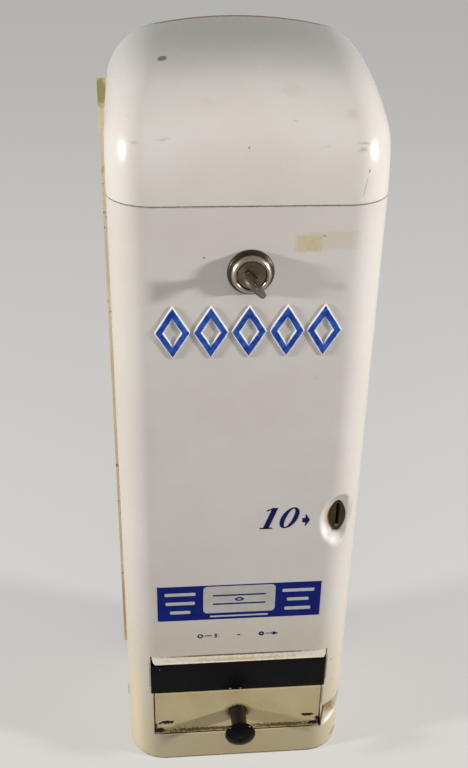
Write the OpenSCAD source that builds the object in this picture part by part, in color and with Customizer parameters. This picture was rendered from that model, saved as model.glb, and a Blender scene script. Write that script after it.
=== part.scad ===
// Wall vending cabinet with a pull drawer, a swing flap, a coin slot and a lift off hood.
// X runs to the right, Y from the front to the wall, Z up. Sizes are millimetres.

/* [Case] */
// width of the case
case_w = 160; // [150:1:190]
// depth of the case from its front face to the back plate
case_d = 110; // [106:1:140]
// radius of the two upright front corners
corner_r = 27; // [22:1:32]
// thickness of the pressed sheet
sheet_t = 1.2; // [0.8:0.1:1.6]
// height of the seam between cover and hood
seam_z = 435.5; // [430:0.5:480]
// open line between cover and hood
seam_gap = 0.6; // [0.4:0.1:1.5]
// clearance between pieces that fit inside each other
fit_gap = 0.3; // [0.2:0.05:0.5]

/* [Hood] */
// straight height of the hood above the seam
hood_skirt = 27.5; // [20:0.5:40]
// radius of the hood's brow beyond the corner radius
hood_brow = 12; // [10:1:16]
// angle turned by the brow before the flatter top begins
brow_angle = 66; // [60:0.5:68]
// half angle of the crown across the top
crown_angle = 11; // [4:0.5:12]
// growth of the hood's corner radius from the seam to the wall
hood_round = 9; // [4:0.5:9]
// height of the band inside the hood
band_h = 20; // [16:1:30]
// length of the band that drops into the cover
band_drop = 8; // [5:1:12]
// thickness of the band
band_t = 1; // [0.8:0.1:1.5]

/* [Back plate] */
// width of the back plate
plate_w = 172; // [166:1:210]
// lower edge of the back plate
plate_z = 16; // [5:1:24]
// height of the back plate's shoulders
plate_top = 480; // [450:1:490]
// thickness of the back plate
plate_t = 1.6; // [1:0.1:3]
// width of the tongue behind the hood
tongue_w = 152; // [110:1:156]
// height of the tongue above the shoulders
tongue_h = 28; // [10:1:30]
// corner radius of the tongue
tongue_r = 24; // [5:1:27]
// diameter of the wall screw holes
wall_hole_d = 5.5; // [4:0.5:8]
// spacing of the wall screw holes across
wall_hole_dx = 80; // [60:1:90]
// spacing of the wall screw holes in height
wall_hole_dz = 300; // [200:1:320]
// height of the lower wall screw holes
wall_hole_z = 135; // [115:1:150]

/* [Opening] */
// width of the opening at the drawer
opening_w = 124; // [122:1:130]
// lower edge of the opening
opening_z = 25; // [20:1:27]
// height where the opening widens for the flap
step_z = 67; // [64:1:72]
// extra width of the opening at the flap
step_w = 3; // [1:0.5:6]
// height of the opening's upper edge
opening_top = 101; // [98:1:110]
// reach of the flared lip
lip_out = 3.6; // [1:0.1:6]
// height of the flared lip
lip_h = 3; // [2:0.1:6]

/* [Drawer] */
// gap round the drawer front
drawer_gap = 1; // [0.6:0.1:2]
// setback of the drawer front behind the cover's face
drawer_set = 1.2; // [0.6:0.1:2]
// thickness of the drawer front
front_t = 1.5; // [1:0.1:2]
// width of the drawer tray
tray_w = 116; // [100:1:118]
// height of the tray floor's underside
tray_z = 29; // [28.5:0.5:34]
// height of the tray sides beside the pocket
tray_side_h = 32; // [20:1:35]
// depth of the pocket from the cover's face to the pocket's back
pocket_back = 54; // [52:1:58]
// room between the drawer's deck and the back plate
deck_gap = 6; // [6:0.5:10]
// height of the deck that holds the stack
deck_z = 77; // [75:0.5:84]
// height of the knob
knob_z = 45; // [43:1:52]
// reach of the knob from the cover's face
knob_out = 24; // [20:0.5:28]
// diameter of the knob cap
cap_d = 22; // [16:1:28]
// height of the knob cap
cap_h = 6.5; // [6:0.5:10]
// diameter of the knob stem at the drawer
stem_d = 12; // [8:0.5:14]
// diameter of the knob screw
knob_screw_d = 4; // [3:0.5:5]

/* [Flap] */
// thickness of the flap
flap_t = 1; // [0.8:0.1:1.4]
// gap round the flap
flap_gap = 0.8; // [0.5:0.1:1.5]
// diameter of the flap pin
flap_pin_d = 3; // [2:0.5:4]
// wall of the flap's rolled knuckle
knuckle_t = 1; // [0.8:0.1:1.4]
// drop of the flap pin below the opening's upper edge
flap_pin_drop = 4.6; // [4.2:0.1:8]
// half distance of the flap brackets
flap_bracket_x = 48; // [40:1:49]

/* [Coins] */
// height of the coin slot
coin_z = 220.5; // [200:0.5:240]
// diameter of the coin
coin_d = 17.9; // [17:0.1:22]
// free width of the chute
coin_gap = 2.4; // [1.8:0.1:3]
// thickness of the chute's walls
chute_t = 1; // [0.8:0.1:1.2]
// lower end of the chute
chute_z = 52; // [50:1:58]
// depth of the pressed coin pocket
pocket_in = 6; // [4:0.5:6]
// radius of the coin pocket's floor
pocket_r = 15.5; // [14:0.5:18]
// widening of the coin pocket towards the face
pocket_flare = 3; // [1:0.5:4]
// width of the coin plate
coin_plate_w = 11; // [9:0.5:13]
// height of the coin plate
coin_plate_h = 24; // [23:0.5:28]
// radius of the coin plate's rounded ends
coin_plate_r = 2.6; // [2:0.1:3.5]
// thickness of the coin plate
coin_plate_t = 1; // [0.6:0.1:1.5]
// diameter of the pawl pin
pawl_pin_d = 4; // [3:0.5:5]
// thickness of the pawl
pawl_t = 2; // [1.5:0.1:3]

/* [Lock] */
// height of the lock
lock_z = 397.5; // [396:0.5:401]
// diameter of the lock's barrel
barrel_d = 19; // [17:0.5:21]
// length of the barrel behind the cover's face
barrel_l = 16; // [14:0.5:18]
// diameter of the bezel
bezel_d = 26; // [24:0.5:30]
// reach of the bezel
bezel_out = 6.5; // [5:0.5:8]
// thickness of the seat washer
washer_t = 0.8; // [0.5:0.1:1.5]
// diameter of the turning plug
plug_d = 13; // [12:0.5:14]
// running clearance of the plug and of the pins
run_gap = 0.06; // [0.03:0.01:0.1]
// turn of the key from upright at rest
key_turn = 45; // [30:1:50]
// radius of the key's bow
bow_r = 8.5; // [7:0.5:10]
// thickness of the key
key_t = 1.8; // [1.4:0.1:2.2]
// reach of the key's bow from the cover's face
key_out = 28.5; // [26:0.5:32]

/* [Magazine] */
// inner half width of the magazine
mag_x = 59.5; // [59:0.5:62]
// front of the magazine
mag_front = 8.6; // [8.4:0.1:10]
// upper end of the magazine
mag_top = 375; // [330:1:380]
// thickness of the stack weight
weight_h = 8; // [5:1:14]

/* [Hidden] */
$fn = 72;
half_w = case_w / 2;
in_x = half_w - sheet_t;
plate_back = case_d + plate_t;
front_y = (max(knob_out, key_out) - plate_back) / 2;
eps = 0.5;

// hood profile
hood_d = case_d - fit_gap;
hood_z = seam_z + seam_gap;
brow_z = seam_z + hood_skirt;
brow_r = corner_r + hood_brow;
top_r = (hood_d - brow_r * (1 - cos(brow_angle))) / cos(brow_angle);
brow_steps = 6;
top_steps = 6;
crown_steps = 4;
corner_steps = 7;

// drawer
drawer_w = opening_w - 2 * drawer_gap;
drawer_y = drawer_set + front_t;
tray_x = tray_w / 2;
deck_end = case_d - deck_gap;
wall_t = 1.2;
tray_side_z = tray_z + tray_side_h;
stem_end = -knob_out + cap_h;
knob_head_r = knob_screw_d;
knob_head_h = 2.2;

// flap
flap_x = (opening_w + step_w) / 2 - flap_gap;
flap_y = drawer_set + 0.4;
knuckle_in = flap_pin_d / 2 + run_gap;
knuckle_r = knuckle_in + knuckle_t;
flap_pin_y = flap_y + knuckle_r;
flap_pin_z = opening_top - flap_pin_drop;
bracket_y = flap_y + flap_t + 0.5;
bracket_h = 13;
bracket_top = opening_top + bracket_h;
bracket_low = flap_pin_z - 3.4;
bracket_back = flap_pin_y + 3.4;
bracket_foot = opening_top + lip_h + fit_gap;
flap_foot = 11;
pin_head_r = flap_pin_d / 2 + 0.6;
pin_head_l = 1.3;

// base
base_t = 1.5;
ear_x = in_x - fit_gap;
ear_y = corner_r + 0.5;
ear_end = 64;
ear_z = 56;
base_flange_x = 60;
base_flange_z = 40;
screw_y = corner_r + 5;
screw_z = 42;
screw_r = 2;
screw_head_r = 4.5;
screw_head_h = 1.2;
screw_l = 8;
runner_y = 36;
runner_z = tray_z - fit_gap;
runner_in = 6;
runner_leg = 12;

// magazine
mag_out = mag_x + wall_t;
mag_z = deck_z + wall_t;
mag_back_y = pocket_back + 4;
mag_lip_x = flap_bracket_x + 5;
mag_flange = 12;
mag_flange_lift = 70;
mag_flange_z = mag_z + mag_flange_lift;
mag_gap = 0.6;
mag_tab = 1.6;
mag_tab_y = 20;
mag_tab_l = 26;
mag_fold = 10;
loop_x = 18;
loop_h = 16;
loop_t = 4;

// coin path
coin_x = mag_out + chute_t + coin_gap / 2;
chute_in = mag_out + chute_t;
chute_out = chute_in + coin_gap;
chute_right = chute_out + chute_t;
chute_y = pocket_in + sheet_t + fit_gap;
shaft_y = chute_y + 2.5;
shaft_end = shaft_y + coin_d + 2;
slot_h = coin_d + 2;
slot_w = 2.2;
entry_h = coin_d + 4;
pocket_x = coin_x + 6.1;
pawl_x = chute_right + 0.4;
pawl_y = 56;
pawl_z = deck_z + 5;
pawl_hub_r = 6;
pawl_reach = pawl_y - shaft_y - 10;
pawl_arm = 5;
finger_r = 1.5;
finger_lift = 6;
window_y = 5;
window_d = 12;
window_z = 2;
window_h = 21;
lug_l = 16;
lug_plate_y = deck_end - 4;
lug_y = lug_plate_y - lug_l;
lug_t = 2.5;
lug_top = deck_z - 3;
pawl_nose = lug_y - 3 - pawl_y;
lug_low = 45;
lug_flange_z = 60;
nose_low = lug_top + 1.5;
nose_w = 5;
nose_h = 9;

// scoop pressed into the lower right corner
scoop_mid = [half_w - 8.7, 8, 30.6];
scoop_tilt = 70.2;
scoop_swing = -63.4;
scoop_top = 46;
scoop_left = opening_w / 2 + 0.5;
scoop_span = 40;

// lock
plug_face = bezel_out - 1.2;
plug_head_r = plug_d / 2 + 1.5;
plug_head_l = 3;
plug_r = plug_d / 2;
tail_r = 4;
cam_y = barrel_l + fit_gap;
cam_t = 2;
tail_end = cam_y + cam_t - 0.2;
cam_w = 10;
cam_reach = 32;
hook_low = 27;
hook_x = 17;
cam_screw_r = 1.5;
cam_head_r = 4.8;
cam_head_h = 2.4;
cam_screw_l = 9;
blade_h = 7.6;
blade_end = 12;
keyway_gap = 0.3;
bow_l = 3;
bow_hole_r = 2.5;
key_neck = 6;
nut_flat = barrel_d + 7;
nut_t = 5;

// hood catch
catch_x = 8;
catch_w = 10;
catch_y = sheet_t + fit_gap + band_t;
catch_back = cam_y + cam_t + cam_head_h + 2.6;
catch_low = lock_z + hook_low - 3;
catch_foot = seam_z - 4;
catch_top = seam_z + 10.5;
catch_front = cam_y - 1.8;

// cash tray
cash_t = 1;
cash_z = base_t;
cash_h = 18;
cash_x = in_x - 6;
cash_y = 12;
cash_end = case_d - 6;

// cover brackets and rivets
angle_w = 15;
angle_leg = 12;
angle_z = [110, 380];
rivet_r = 1.6;
rivet_head_r = 3;
rivet_head_h = 1.4;
rivet_x = mag_x - mag_flange / 2;
rivet_z = [170, 250, 340];
base_rivet_x = 40;
base_rivet_z = 30;
angle_rivet_x = in_x - 8;

// small building pieces
module at_front() {
  translate([0, front_y, 0]) children();
}

module block(x0, x1, y0, y1, z0, z1) {
  translate([x0, y0, z0]) cube([x1 - x0, y1 - y0, z1 - z0]);
}

module rod_y(r, y0, y1, x, z) {
  translate([x, y0, z]) rotate([-90, 0, 0]) cylinder(r = r, h = y1 - y0);
}

module rod_x(r, x0, x1, y, z) {
  translate([x0, y, z]) rotate([0, 90, 0]) cylinder(r = r, h = x1 - x0);
}

// an outline in Y and Z, drawn out along X
module sheet_yz(x0, x1, outline) {
  translate([x0, 0, 0]) rotate([90, 0, 90]) linear_extrude(x1 - x0) polygon(outline);
}

// an outline in X and Z, drawn out along Y
module sheet_xz(y0, y1, outline) {
  translate([0, y1, 0]) rotate([90, 0, 0]) linear_extrude(y1 - y0) polygon(outline);
}

module mirror_x() {
  children();
  mirror([1, 0, 0]) children();
}

// plan of the case, inset from its outside, open or closed at the wall
module case_plan(inset, end_y) {
  r = corner_r - inset;
  x = half_w - inset;
  union() {
    translate([-x, corner_r]) square([2 * x, end_y - corner_r]);
    translate([-x + r, inset]) square([2 * (x - r), end_y - inset]);
    translate([-x + r, corner_r]) circle(r);
    translate([x - r, corner_r]) circle(r);
  }
}

// places of the rivets that hold the inside to the back plate
module at_rivets() {
  for (s = [-1, 1]) {
    for (z = rivet_z) translate([s * rivet_x, 0, z]) children();
    for (z = angle_z) translate([s * angle_rivet_x, 0, z + angle_w / 2]) children();
    translate([s * base_rivet_x, 0, base_rivet_z]) children();
  }
}

module rivet_holes() {
  at_rivets() rod_y(rivet_r + run_gap, case_d - 5, plate_back + eps, 0, 0);
}

// back plate with shoulders and a tongue behind the hood
module back_plate() color("tan") at_front() {
  difference() {
    union() {
      block(-plate_w / 2, plate_w / 2, case_d, plate_back, plate_z, plate_top);
      block(-tongue_w / 2, tongue_w / 2, case_d, plate_back, plate_top, plate_top + tongue_h - tongue_r);
      block(-tongue_w / 2 + tongue_r, tongue_w / 2 - tongue_r, case_d, plate_back, plate_top, plate_top + tongue_h);
      for (s = [-1, 1])
        rod_y(tongue_r, case_d, plate_back, s * (tongue_w / 2 - tongue_r), plate_top + tongue_h - tongue_r);
    }
    rivet_holes();
    for (s = [-1, 1], z = [wall_hole_z, wall_hole_z + wall_hole_dz])
      rod_y(wall_hole_d / 2, case_d - eps, plate_back + eps, s * wall_hole_dx / 2, z);
  }
}

// pressed pocket round the coin plate
module coin_pocket(grow, lead) {
  length = pocket_in + grow + lead;
  translate([pocket_x, -lead, coin_z]) rotate([-90, 0, 0])
    cylinder(r1 = pocket_r + grow + pocket_flare * length / pocket_in, r2 = pocket_r + grow, h = length);
}

// half space outside the scoop's ramp, moved in by a distance
module scoop_space(inward) {
  translate(scoop_mid) rotate([0, scoop_tilt, scoop_swing])
    translate([-scoop_span, -scoop_span, -inward]) cube([2 * scoop_span, 2 * scoop_span, scoop_span]);
}

module scoop_box() {
  block(scoop_left, half_w + eps, -eps, corner_r, opening_z - 6, scoop_top);
}

module opening_shape() {
  low_x = opening_w / 2;
  high_x = low_x + step_w / 2;
  low_r = 2.5;
  deep = corner_r / 2;
  near = -eps - lip_out;
  block(-low_x, low_x, near, deep, opening_z + low_r, step_z + eps);
  block(-low_x + low_r, low_x - low_r, near, deep, opening_z, step_z);
  for (s = [-1, 1]) rod_y(low_r, near, deep, s * (low_x - low_r), opening_z + low_r);
  block(-high_x, high_x, near, deep, step_z, opening_top);
}

// front cover: folded sheet with opening, lip, coin pocket, scoop and lock hole
module front_cover() color("ivory") at_front() {
  lip_x = opening_w / 2 + 0.4;
  difference() {
    union() {
      difference() {
        linear_extrude(seam_z) case_plan(0, case_d);
        translate([0, 0, -eps]) linear_extrude(seam_z + 2 * eps) case_plan(sheet_t, case_d + eps);
      }
      intersection() {
        translate([0, 0, coin_z - 2 * pocket_r]) linear_extrude(4 * pocket_r) case_plan(0, case_d);
        coin_pocket(sheet_t, 0);
      }
      intersection() {
        linear_extrude(scoop_top) case_plan(0, case_d);
        difference() {
          scoop_space(sheet_t);
          scoop_space(0);
        }
        scoop_box();
      }
      sheet_yz(-lip_x, lip_x, [[2.4, opening_top + lip_h], [0, opening_top + lip_h],
        [-lip_out, opening_top], [-lip_out, opening_top - 1], [0, opening_top + 0.4],
        [2.4, opening_top + 0.4]]);
    }
    opening_shape();
    coin_pocket(0, eps);
    rod_y(coin_plate_w / 4, pocket_in - eps, pocket_in + sheet_t + eps, coin_x, coin_z + slot_h / 2 - 2);
    rod_y(coin_plate_w / 4, pocket_in - eps, pocket_in + sheet_t + eps, coin_x, coin_z - slot_h / 2 + 2);
    block(coin_x - coin_plate_w / 4, coin_x + coin_plate_w / 4, pocket_in - eps, pocket_in + sheet_t + eps,
      coin_z - slot_h / 2 + 2, coin_z + slot_h / 2 - 2);
    intersection() {
      scoop_space(0);
      scoop_box();
    }
    rod_y(barrel_d / 2 + 0.1, -eps, sheet_t + eps, 0, lock_z);
    for (s = [-1, 1]) rod_x(screw_r + 0.1, s * half_w - 4, s * half_w + 4, screw_y, screw_z);
  }
}

// hood shell: sections square to the side profile, with a crown that grows to the rear
function stations(inset) = concat(
  [[inset, hood_z, 0]],
  [for (i = [0:brow_steps]) let (a = brow_angle * i / brow_steps)
    [brow_r * (1 - cos(a)) + inset * cos(a), brow_z + (brow_r - inset) * sin(a), a]],
  [for (i = [1:top_steps]) let (a = brow_angle + (90 - brow_angle) * i / top_steps)
    [brow_r * (1 - cos(brow_angle)) + top_r * (cos(brow_angle) - cos(a)) + inset * cos(a),
     brow_z + brow_r * sin(brow_angle) + top_r * (sin(a) - sin(brow_angle)) - inset * sin(a), a]]);

function half_section(a, inset) =
  let (grow = hood_round * pow(sin(a), 3), r = corner_r + grow - inset, xc = half_w - corner_r - grow,
    q0 = crown_angle * sin(a),
    xe = xc + r * sin(q0), rc = q0 < 0.05 ? 0 : xe / sin(q0), drop = rc * (1 - cos(q0)))
  concat(
    [for (k = [1:crown_steps]) let (u = q0 * k / crown_steps)
      q0 < 0.05 ? [xe * k / crown_steps, 0] : [rc * sin(u), rc * (1 - cos(u))]],
    [for (k = [1:corner_steps]) let (q = q0 + (90 - q0) * k / corner_steps)
      [xc + r * sin(q), drop + r * (cos(q0) - cos(q))]]);

function row_points(s, inset) =
  let (h = half_section(s[2], inset), n = len(h))
  [for (k = [-n:n]) let (p = k == 0 ? [0, 0] : [sign(k) * h[abs(k) - 1][0], h[abs(k) - 1][1]])
    [p[0], s[0] + p[1] * cos(s[2]), s[1] - p[1] * sin(s[2])]];

function shell_points(inset) = concat(
  [for (s = stations(inset)) for (p = row_points(s, inset)) p],
  [[-half_w + inset, hood_d, hood_z], [half_w - inset, hood_d, hood_z]]);

module hood() color("whitesmoke") at_front() {
  m = 2 * (crown_steps + corner_steps);
  n = brow_steps + top_steps + 1;
  count = (n + 1) * (m + 1) + 2;
  left = count - 2;
  right = count - 1;
  rim_low = concat([left], [for (j = [0:m]) j], [right]);
  rim_back = concat([left], [for (j = [0:m]) n * (m + 1) + j], [right]);
  skin = concat(
    [for (i = [0:n - 1], j = [0:m - 1]) let (a = i * (m + 1) + j) [a, a + m + 1, a + m + 2]],
    [for (i = [0:n - 1], j = [0:m - 1]) let (a = i * (m + 1) + j) [a, a + m + 2, a + 1]],
    [for (i = [0:n - 1]) [left, (i + 1) * (m + 1), i * (m + 1)]],
    [for (i = [0:n - 1]) [right, i * (m + 1) + m, (i + 1) * (m + 1) + m]]);
  polyhedron(
    points = concat(shell_points(0), shell_points(sheet_t)),
    faces = concat(
      skin,
      [for (f = skin) [f[0] + count, f[2] + count, f[1] + count]],
      [for (k = [0:m + 1]) [rim_low[k], rim_low[k + 1], rim_low[k + 1] + count]],
      [for (k = [0:m + 1]) [rim_low[k], rim_low[k + 1] + count, rim_low[k] + count]],
      [for (k = [0:m + 1]) [rim_back[k], rim_back[k + 1] + count, rim_back[k + 1]]],
      [for (k = [0:m + 1]) [rim_back[k], rim_back[k] + count, rim_back[k + 1] + count]]));
}

// band inside the hood that drops into the cover
module hood_band() color("silver") at_front() {
  outside = sheet_t + fit_gap;
  translate([0, 0, seam_z - band_drop]) difference() {
    linear_extrude(band_h) case_plan(outside, case_d - 4);
    translate([0, 0, -eps]) linear_extrude(band_h + 2 * eps) case_plan(outside + band_t, case_d);
  }
}

// catch on the band that the lock's hook holds down
module hood_catch() color("silver") at_front() {
  sheet_yz(catch_x, catch_x + catch_w, [[catch_y, catch_foot], [catch_y, catch_top],
    [catch_back, catch_top], [catch_back, catch_low], [catch_front, catch_low],
    [catch_front, catch_low + wall_t], [catch_back - wall_t, catch_low + wall_t],
    [catch_back - wall_t, catch_top - wall_t], [catch_y + wall_t, catch_top - wall_t],
    [catch_y + wall_t, catch_foot]]);
}

// floor with two ears for the cover screws and a flange on the back plate
module base_pan() color("dimgray") at_front() {
  difference() {
    union() {
      linear_extrude(base_t) case_plan(sheet_t + fit_gap, case_d);
      mirror_x() block(ear_x - wall_t, ear_x, ear_y, ear_end, 0, ear_z);
      block(-base_flange_x, base_flange_x, case_d - wall_t, case_d, 0, base_flange_z);
    }
    rivet_holes();
    for (s = [-1, 1]) rod_x(screw_r + 0.1, s * half_w - 6, s * half_w + 6, screw_y, screw_z);
  }
}

// angle on one ear that the drawer slides on
module drawer_runner() {
  side = ear_x - wall_t;
  block(side - wall_t, side, runner_y, ear_end, runner_z - runner_leg, runner_z);
  block(tray_x - runner_in, side, runner_y, ear_end, runner_z - wall_t, runner_z);
}

module drawer_runner_right() color("gray") at_front() {
  drawer_runner();
}

module drawer_runner_left() color("gray") at_front() {
  mirror([1, 0, 0]) drawer_runner();
}

// one side of the magazine, with front lip, rear flange and a stop for the weight
module magazine_side() {
  difference() {
    union() {
      block(mag_x, mag_out, mag_front, case_d, mag_z, mag_top);
      block(mag_lip_x, mag_out, mag_front, mag_front + wall_t, mag_z, mag_top);
      block(mag_x - mag_flange, mag_out, case_d - wall_t, case_d, mag_flange_z, mag_top);
      block(mag_x - mag_tab, mag_x, mag_tab_y, mag_tab_y + mag_tab_l, mag_z, mag_z + wall_t);
    }
    rivet_holes();
  }
}

module magazine_right() color("gainsboro") at_front() {
  magazine_side();
}

module magazine_left() color("gainsboro") at_front() {
  mirror([1, 0, 0]) magazine_side();
}

// cross sheet behind the stack
module magazine_back() color("gainsboro") at_front() {
  block(-mag_x, mag_x, mag_back_y, mag_back_y + wall_t, mag_z + wall_t, mag_top);
  mirror_x() block(mag_x - wall_t, mag_x, mag_back_y, mag_back_y + mag_fold, mag_z + wall_t, mag_top);
}

// angles that steady the cover's sides at the back plate
module cover_brackets() color("gray") at_front() {
  difference() {
    for (z = angle_z) mirror_x() {
      block(ear_x - wall_t, ear_x, case_d - angle_leg, case_d, z, z + angle_w);
      block(ear_x - angle_leg, ear_x, case_d - wall_t, case_d, z, z + angle_w);
    }
    rivet_holes();
  }
}

// pan head screws through the cover's sides
module cover_screws() color("ivory") at_front() {
  mirror_x() {
    rod_x(screw_head_r, half_w, half_w + screw_head_h, screw_y, screw_z);
    rod_x(screw_r, half_w - screw_l, half_w + screw_head_h / 2, screw_y, screw_z);
  }
}

module plate_rivets() color("silver") at_front() {
  at_rivets() {
    rod_y(rivet_head_r, case_d - wall_t - rivet_head_h, case_d - wall_t, 0, 0);
    rod_y(rivet_r, case_d - wall_t - rivet_head_h / 2, plate_back, 0, 0);
  }
}

// oval plate round the coin slot
module coin_plate() color("#4a4034") at_front() {
  near = pocket_in - coin_plate_t;
  end_z = coin_plate_h / 2 - coin_plate_r;
  spare = coin_plate_w / 2 - coin_plate_r;
  side_x = (end_z * end_z - spare * spare) / (2 * spare);
  side_r = side_x + coin_plate_w / 2;
  join_z = end_z * side_r / (side_r - coin_plate_r);
  difference() {
    union() {
      intersection() {
        rod_y(side_r, near, pocket_in, coin_x - side_x, coin_z);
        rod_y(side_r, near, pocket_in, coin_x + side_x, coin_z);
        block(coin_x - coin_plate_w, coin_x + coin_plate_w, near, pocket_in, coin_z - join_z, coin_z + join_z);
      }
      for (s = [-1, 1]) rod_y(coin_plate_r, near, pocket_in, coin_x, coin_z + s * end_z);
    }
    block(coin_x - slot_w / 2, coin_x + slot_w / 2, pocket_in - coin_plate_t - eps, pocket_in + eps,
      coin_z - slot_h / 2, coin_z + slot_h / 2);
  }
}

// flat chute from the slot down to the cash tray
module coin_chute() color("silver") at_front() {
  top = coin_z + entry_h / 2;
  low = coin_z - entry_h / 2;
  side = [[chute_y, low], [shaft_y - chute_t, low], [shaft_y - chute_t, chute_z],
    [shaft_end + chute_t, chute_z], [shaft_end + chute_t, pawl_z - pawl_hub_r],
    [pawl_y + pawl_hub_r, pawl_z - pawl_hub_r], [pawl_y + pawl_hub_r, pawl_z + pawl_hub_r],
    [shaft_end + chute_t, pawl_z + pawl_hub_r + 10], [shaft_end + chute_t, top + chute_t],
    [chute_y, top + chute_t]];
  plain = [[chute_y, low], [shaft_y - chute_t, low], [shaft_y - chute_t, chute_z],
    [shaft_end + chute_t, chute_z], [shaft_end + chute_t, top + chute_t], [chute_y, top + chute_t]];
  difference() {
    union() {
      sheet_yz(mag_out, chute_in, plain);
      sheet_yz(chute_out, chute_right, side);
      block(chute_in, chute_out, chute_y, shaft_end + chute_t, top, top + chute_t);
      block(chute_in, chute_out, shaft_end, shaft_end + chute_t, chute_z, top + chute_t);
      block(chute_in, chute_out, shaft_y - chute_t, shaft_y, chute_z, low + chute_t);
      block(chute_in, chute_out, chute_y, shaft_y, low, low + chute_t);
    }
    block(chute_out - eps, chute_right + eps, shaft_y + window_y, shaft_y + window_y + window_d,
      pawl_z + window_z, pawl_z + window_z + window_h);
    rod_x(pawl_pin_d / 2 + run_gap, chute_out - eps, chute_right + eps, pawl_y, pawl_z);
  }
}

// pin that the pawl rocks on
module pawl_pin() color("silver") at_front() {
  rod_x(pawl_pin_d / 2, chute_out - 1, pawl_x + pawl_t + 1.2, pawl_y, pawl_z);
  rod_x(pawl_pin_d / 2 + 1.5, pawl_x + pawl_t + 0.3, pawl_x + pawl_t + 1.3, pawl_y, pawl_z);
}

// rocker: a finger in the coin's way and a nose that stops the drawer's lug
module coin_pawl() color("darkgoldenrod") at_front() {
  nose_y = pawl_y + pawl_nose;
  finger_y = pawl_y - pawl_reach;
  finger_z = pawl_z + finger_lift;
  difference() {
    union() {
      rod_x(pawl_hub_r, pawl_x, pawl_x + pawl_t, pawl_y, pawl_z);
      sheet_yz(pawl_x, pawl_x + pawl_t, [[pawl_y, pawl_z - pawl_arm], [nose_y - nose_w, nose_low + nose_w],
        [nose_y - nose_w, nose_low], [nose_y, nose_low], [nose_y, nose_low + nose_h], [pawl_y, pawl_z + pawl_arm]]);
      sheet_yz(pawl_x, pawl_x + pawl_t, [[pawl_y, pawl_z - pawl_arm], [pawl_y, pawl_z + pawl_arm],
        [finger_y - finger_r, finger_z + finger_r], [finger_y - finger_r, finger_z - finger_r]]);
      rod_x(finger_r, chute_in + 0.4, pawl_x + pawl_t / 2, finger_y, finger_z);
    }
    rod_x(pawl_pin_d / 2 + run_gap, pawl_x - eps, pawl_x + pawl_t + eps, pawl_y, pawl_z);
  }
}

// open tray that catches the coins under the drawer
module cash_tray() color("gray") at_front() {
  difference() {
    block(-cash_x, cash_x, cash_y, cash_end, cash_z, cash_z + cash_h);
    block(-cash_x + cash_t, cash_x - cash_t, cash_y + cash_t, cash_end - cash_t, cash_z + cash_t, cash_z + cash_h + eps);
  }
}

// plate that presses on the stack, with a lifting loop
module stack_weight() color("dimgray") at_front() {
  y0 = mag_front + wall_t + mag_gap;
  y1 = mag_back_y - mag_gap;
  low = mag_z + wall_t;
  mid = (y0 + y1) / 2;
  top = low + weight_h;
  t = loop_t / 2;
  block(-mag_x + mag_gap, mag_x - mag_gap, y0, y1, low, top);
  for (s = [-loop_x, loop_x]) block(s - t, s + t, mid - t, mid + t, top - eps, top + loop_h);
  block(-loop_x - t, loop_x + t, mid - t, mid + t, top + loop_h - loop_t, top + loop_h);
}

// two angles behind the cover that carry the flap's pin
module flap_brackets() color("gray") at_front() {
  mirror_x() difference() {
    union() {
      sheet_yz(flap_bracket_x, flap_bracket_x + wall_t, [[sheet_t, bracket_foot], [sheet_t, bracket_top],
        [bracket_back, bracket_top], [bracket_back, bracket_low], [bracket_y, bracket_low],
        [bracket_y, bracket_foot]]);
      block(flap_bracket_x - flap_foot, flap_bracket_x + wall_t, sheet_t, sheet_t + wall_t,
        bracket_foot, bracket_top);
    }
    rod_x(flap_pin_d / 2 + run_gap, flap_bracket_x - eps, flap_bracket_x + wall_t + eps, flap_pin_y, flap_pin_z);
  }
}

module flap_pin() color("silver") at_front() {
  head = flap_bracket_x + wall_t + fit_gap;
  rod_x(flap_pin_d / 2, -head - pin_head_l, head + pin_head_l, flap_pin_y, flap_pin_z);
  mirror_x() rod_x(pin_head_r, head, head + pin_head_l, flap_pin_y, flap_pin_z);
}

// black flap with a rolled knuckle, notched beside it for the brackets and the pin's heads
module delivery_flap() color("#1a1a1a") at_front() {
  knuckle_x = flap_bracket_x - 1;
  difference() {
    union() {
      block(-flap_x, flap_x, flap_y, flap_y + flap_t, step_z + 0.6, flap_pin_z - pin_head_r - fit_gap);
      block(-knuckle_x, knuckle_x, flap_y, flap_y + flap_t, step_z + 0.6, flap_pin_z);
      rod_x(knuckle_r, -knuckle_x, knuckle_x, flap_pin_y, flap_pin_z);
    }
    rod_x(knuckle_in, -knuckle_x - eps, knuckle_x + eps, flap_pin_y, flap_pin_z);
  }
}

// cream plate at the front of the drawer
module drawer_front() color("#d8c79a") at_front() {
  difference() {
    block(-drawer_w / 2, drawer_w / 2, drawer_set, drawer_y, opening_z + drawer_gap, step_z - 0.4);
    rod_y(knob_screw_d / 2 + run_gap, drawer_set - eps, drawer_y + eps, 0, knob_z);
  }
}

// pocket for one packet, with a deck behind that holds up the stack
module drawer_tray() color("lightgray") at_front() {
  difference() {
    union() {
      block(-tray_x, tray_x, drawer_y, deck_end, tray_z, tray_z + wall_t);
      block(-tray_x, tray_x, drawer_y, drawer_y + wall_t, tray_z, tray_side_z);
      block(-tray_x, tray_x, pocket_back - wall_t, pocket_back, tray_z, deck_z);
      block(-tray_x, tray_x, pocket_back - wall_t, deck_end, deck_z - wall_t, deck_z);
      mirror_x() {
        block(tray_x - wall_t, tray_x, drawer_y, pocket_back, tray_z, tray_side_z);
        block(tray_x - wall_t, tray_x, pocket_back - wall_t, deck_end, tray_z, deck_z);
      }
    }
    rod_y(knob_screw_d / 2 + run_gap, drawer_y - eps, drawer_y + wall_t + eps, 0, knob_z);
  }
}

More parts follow.
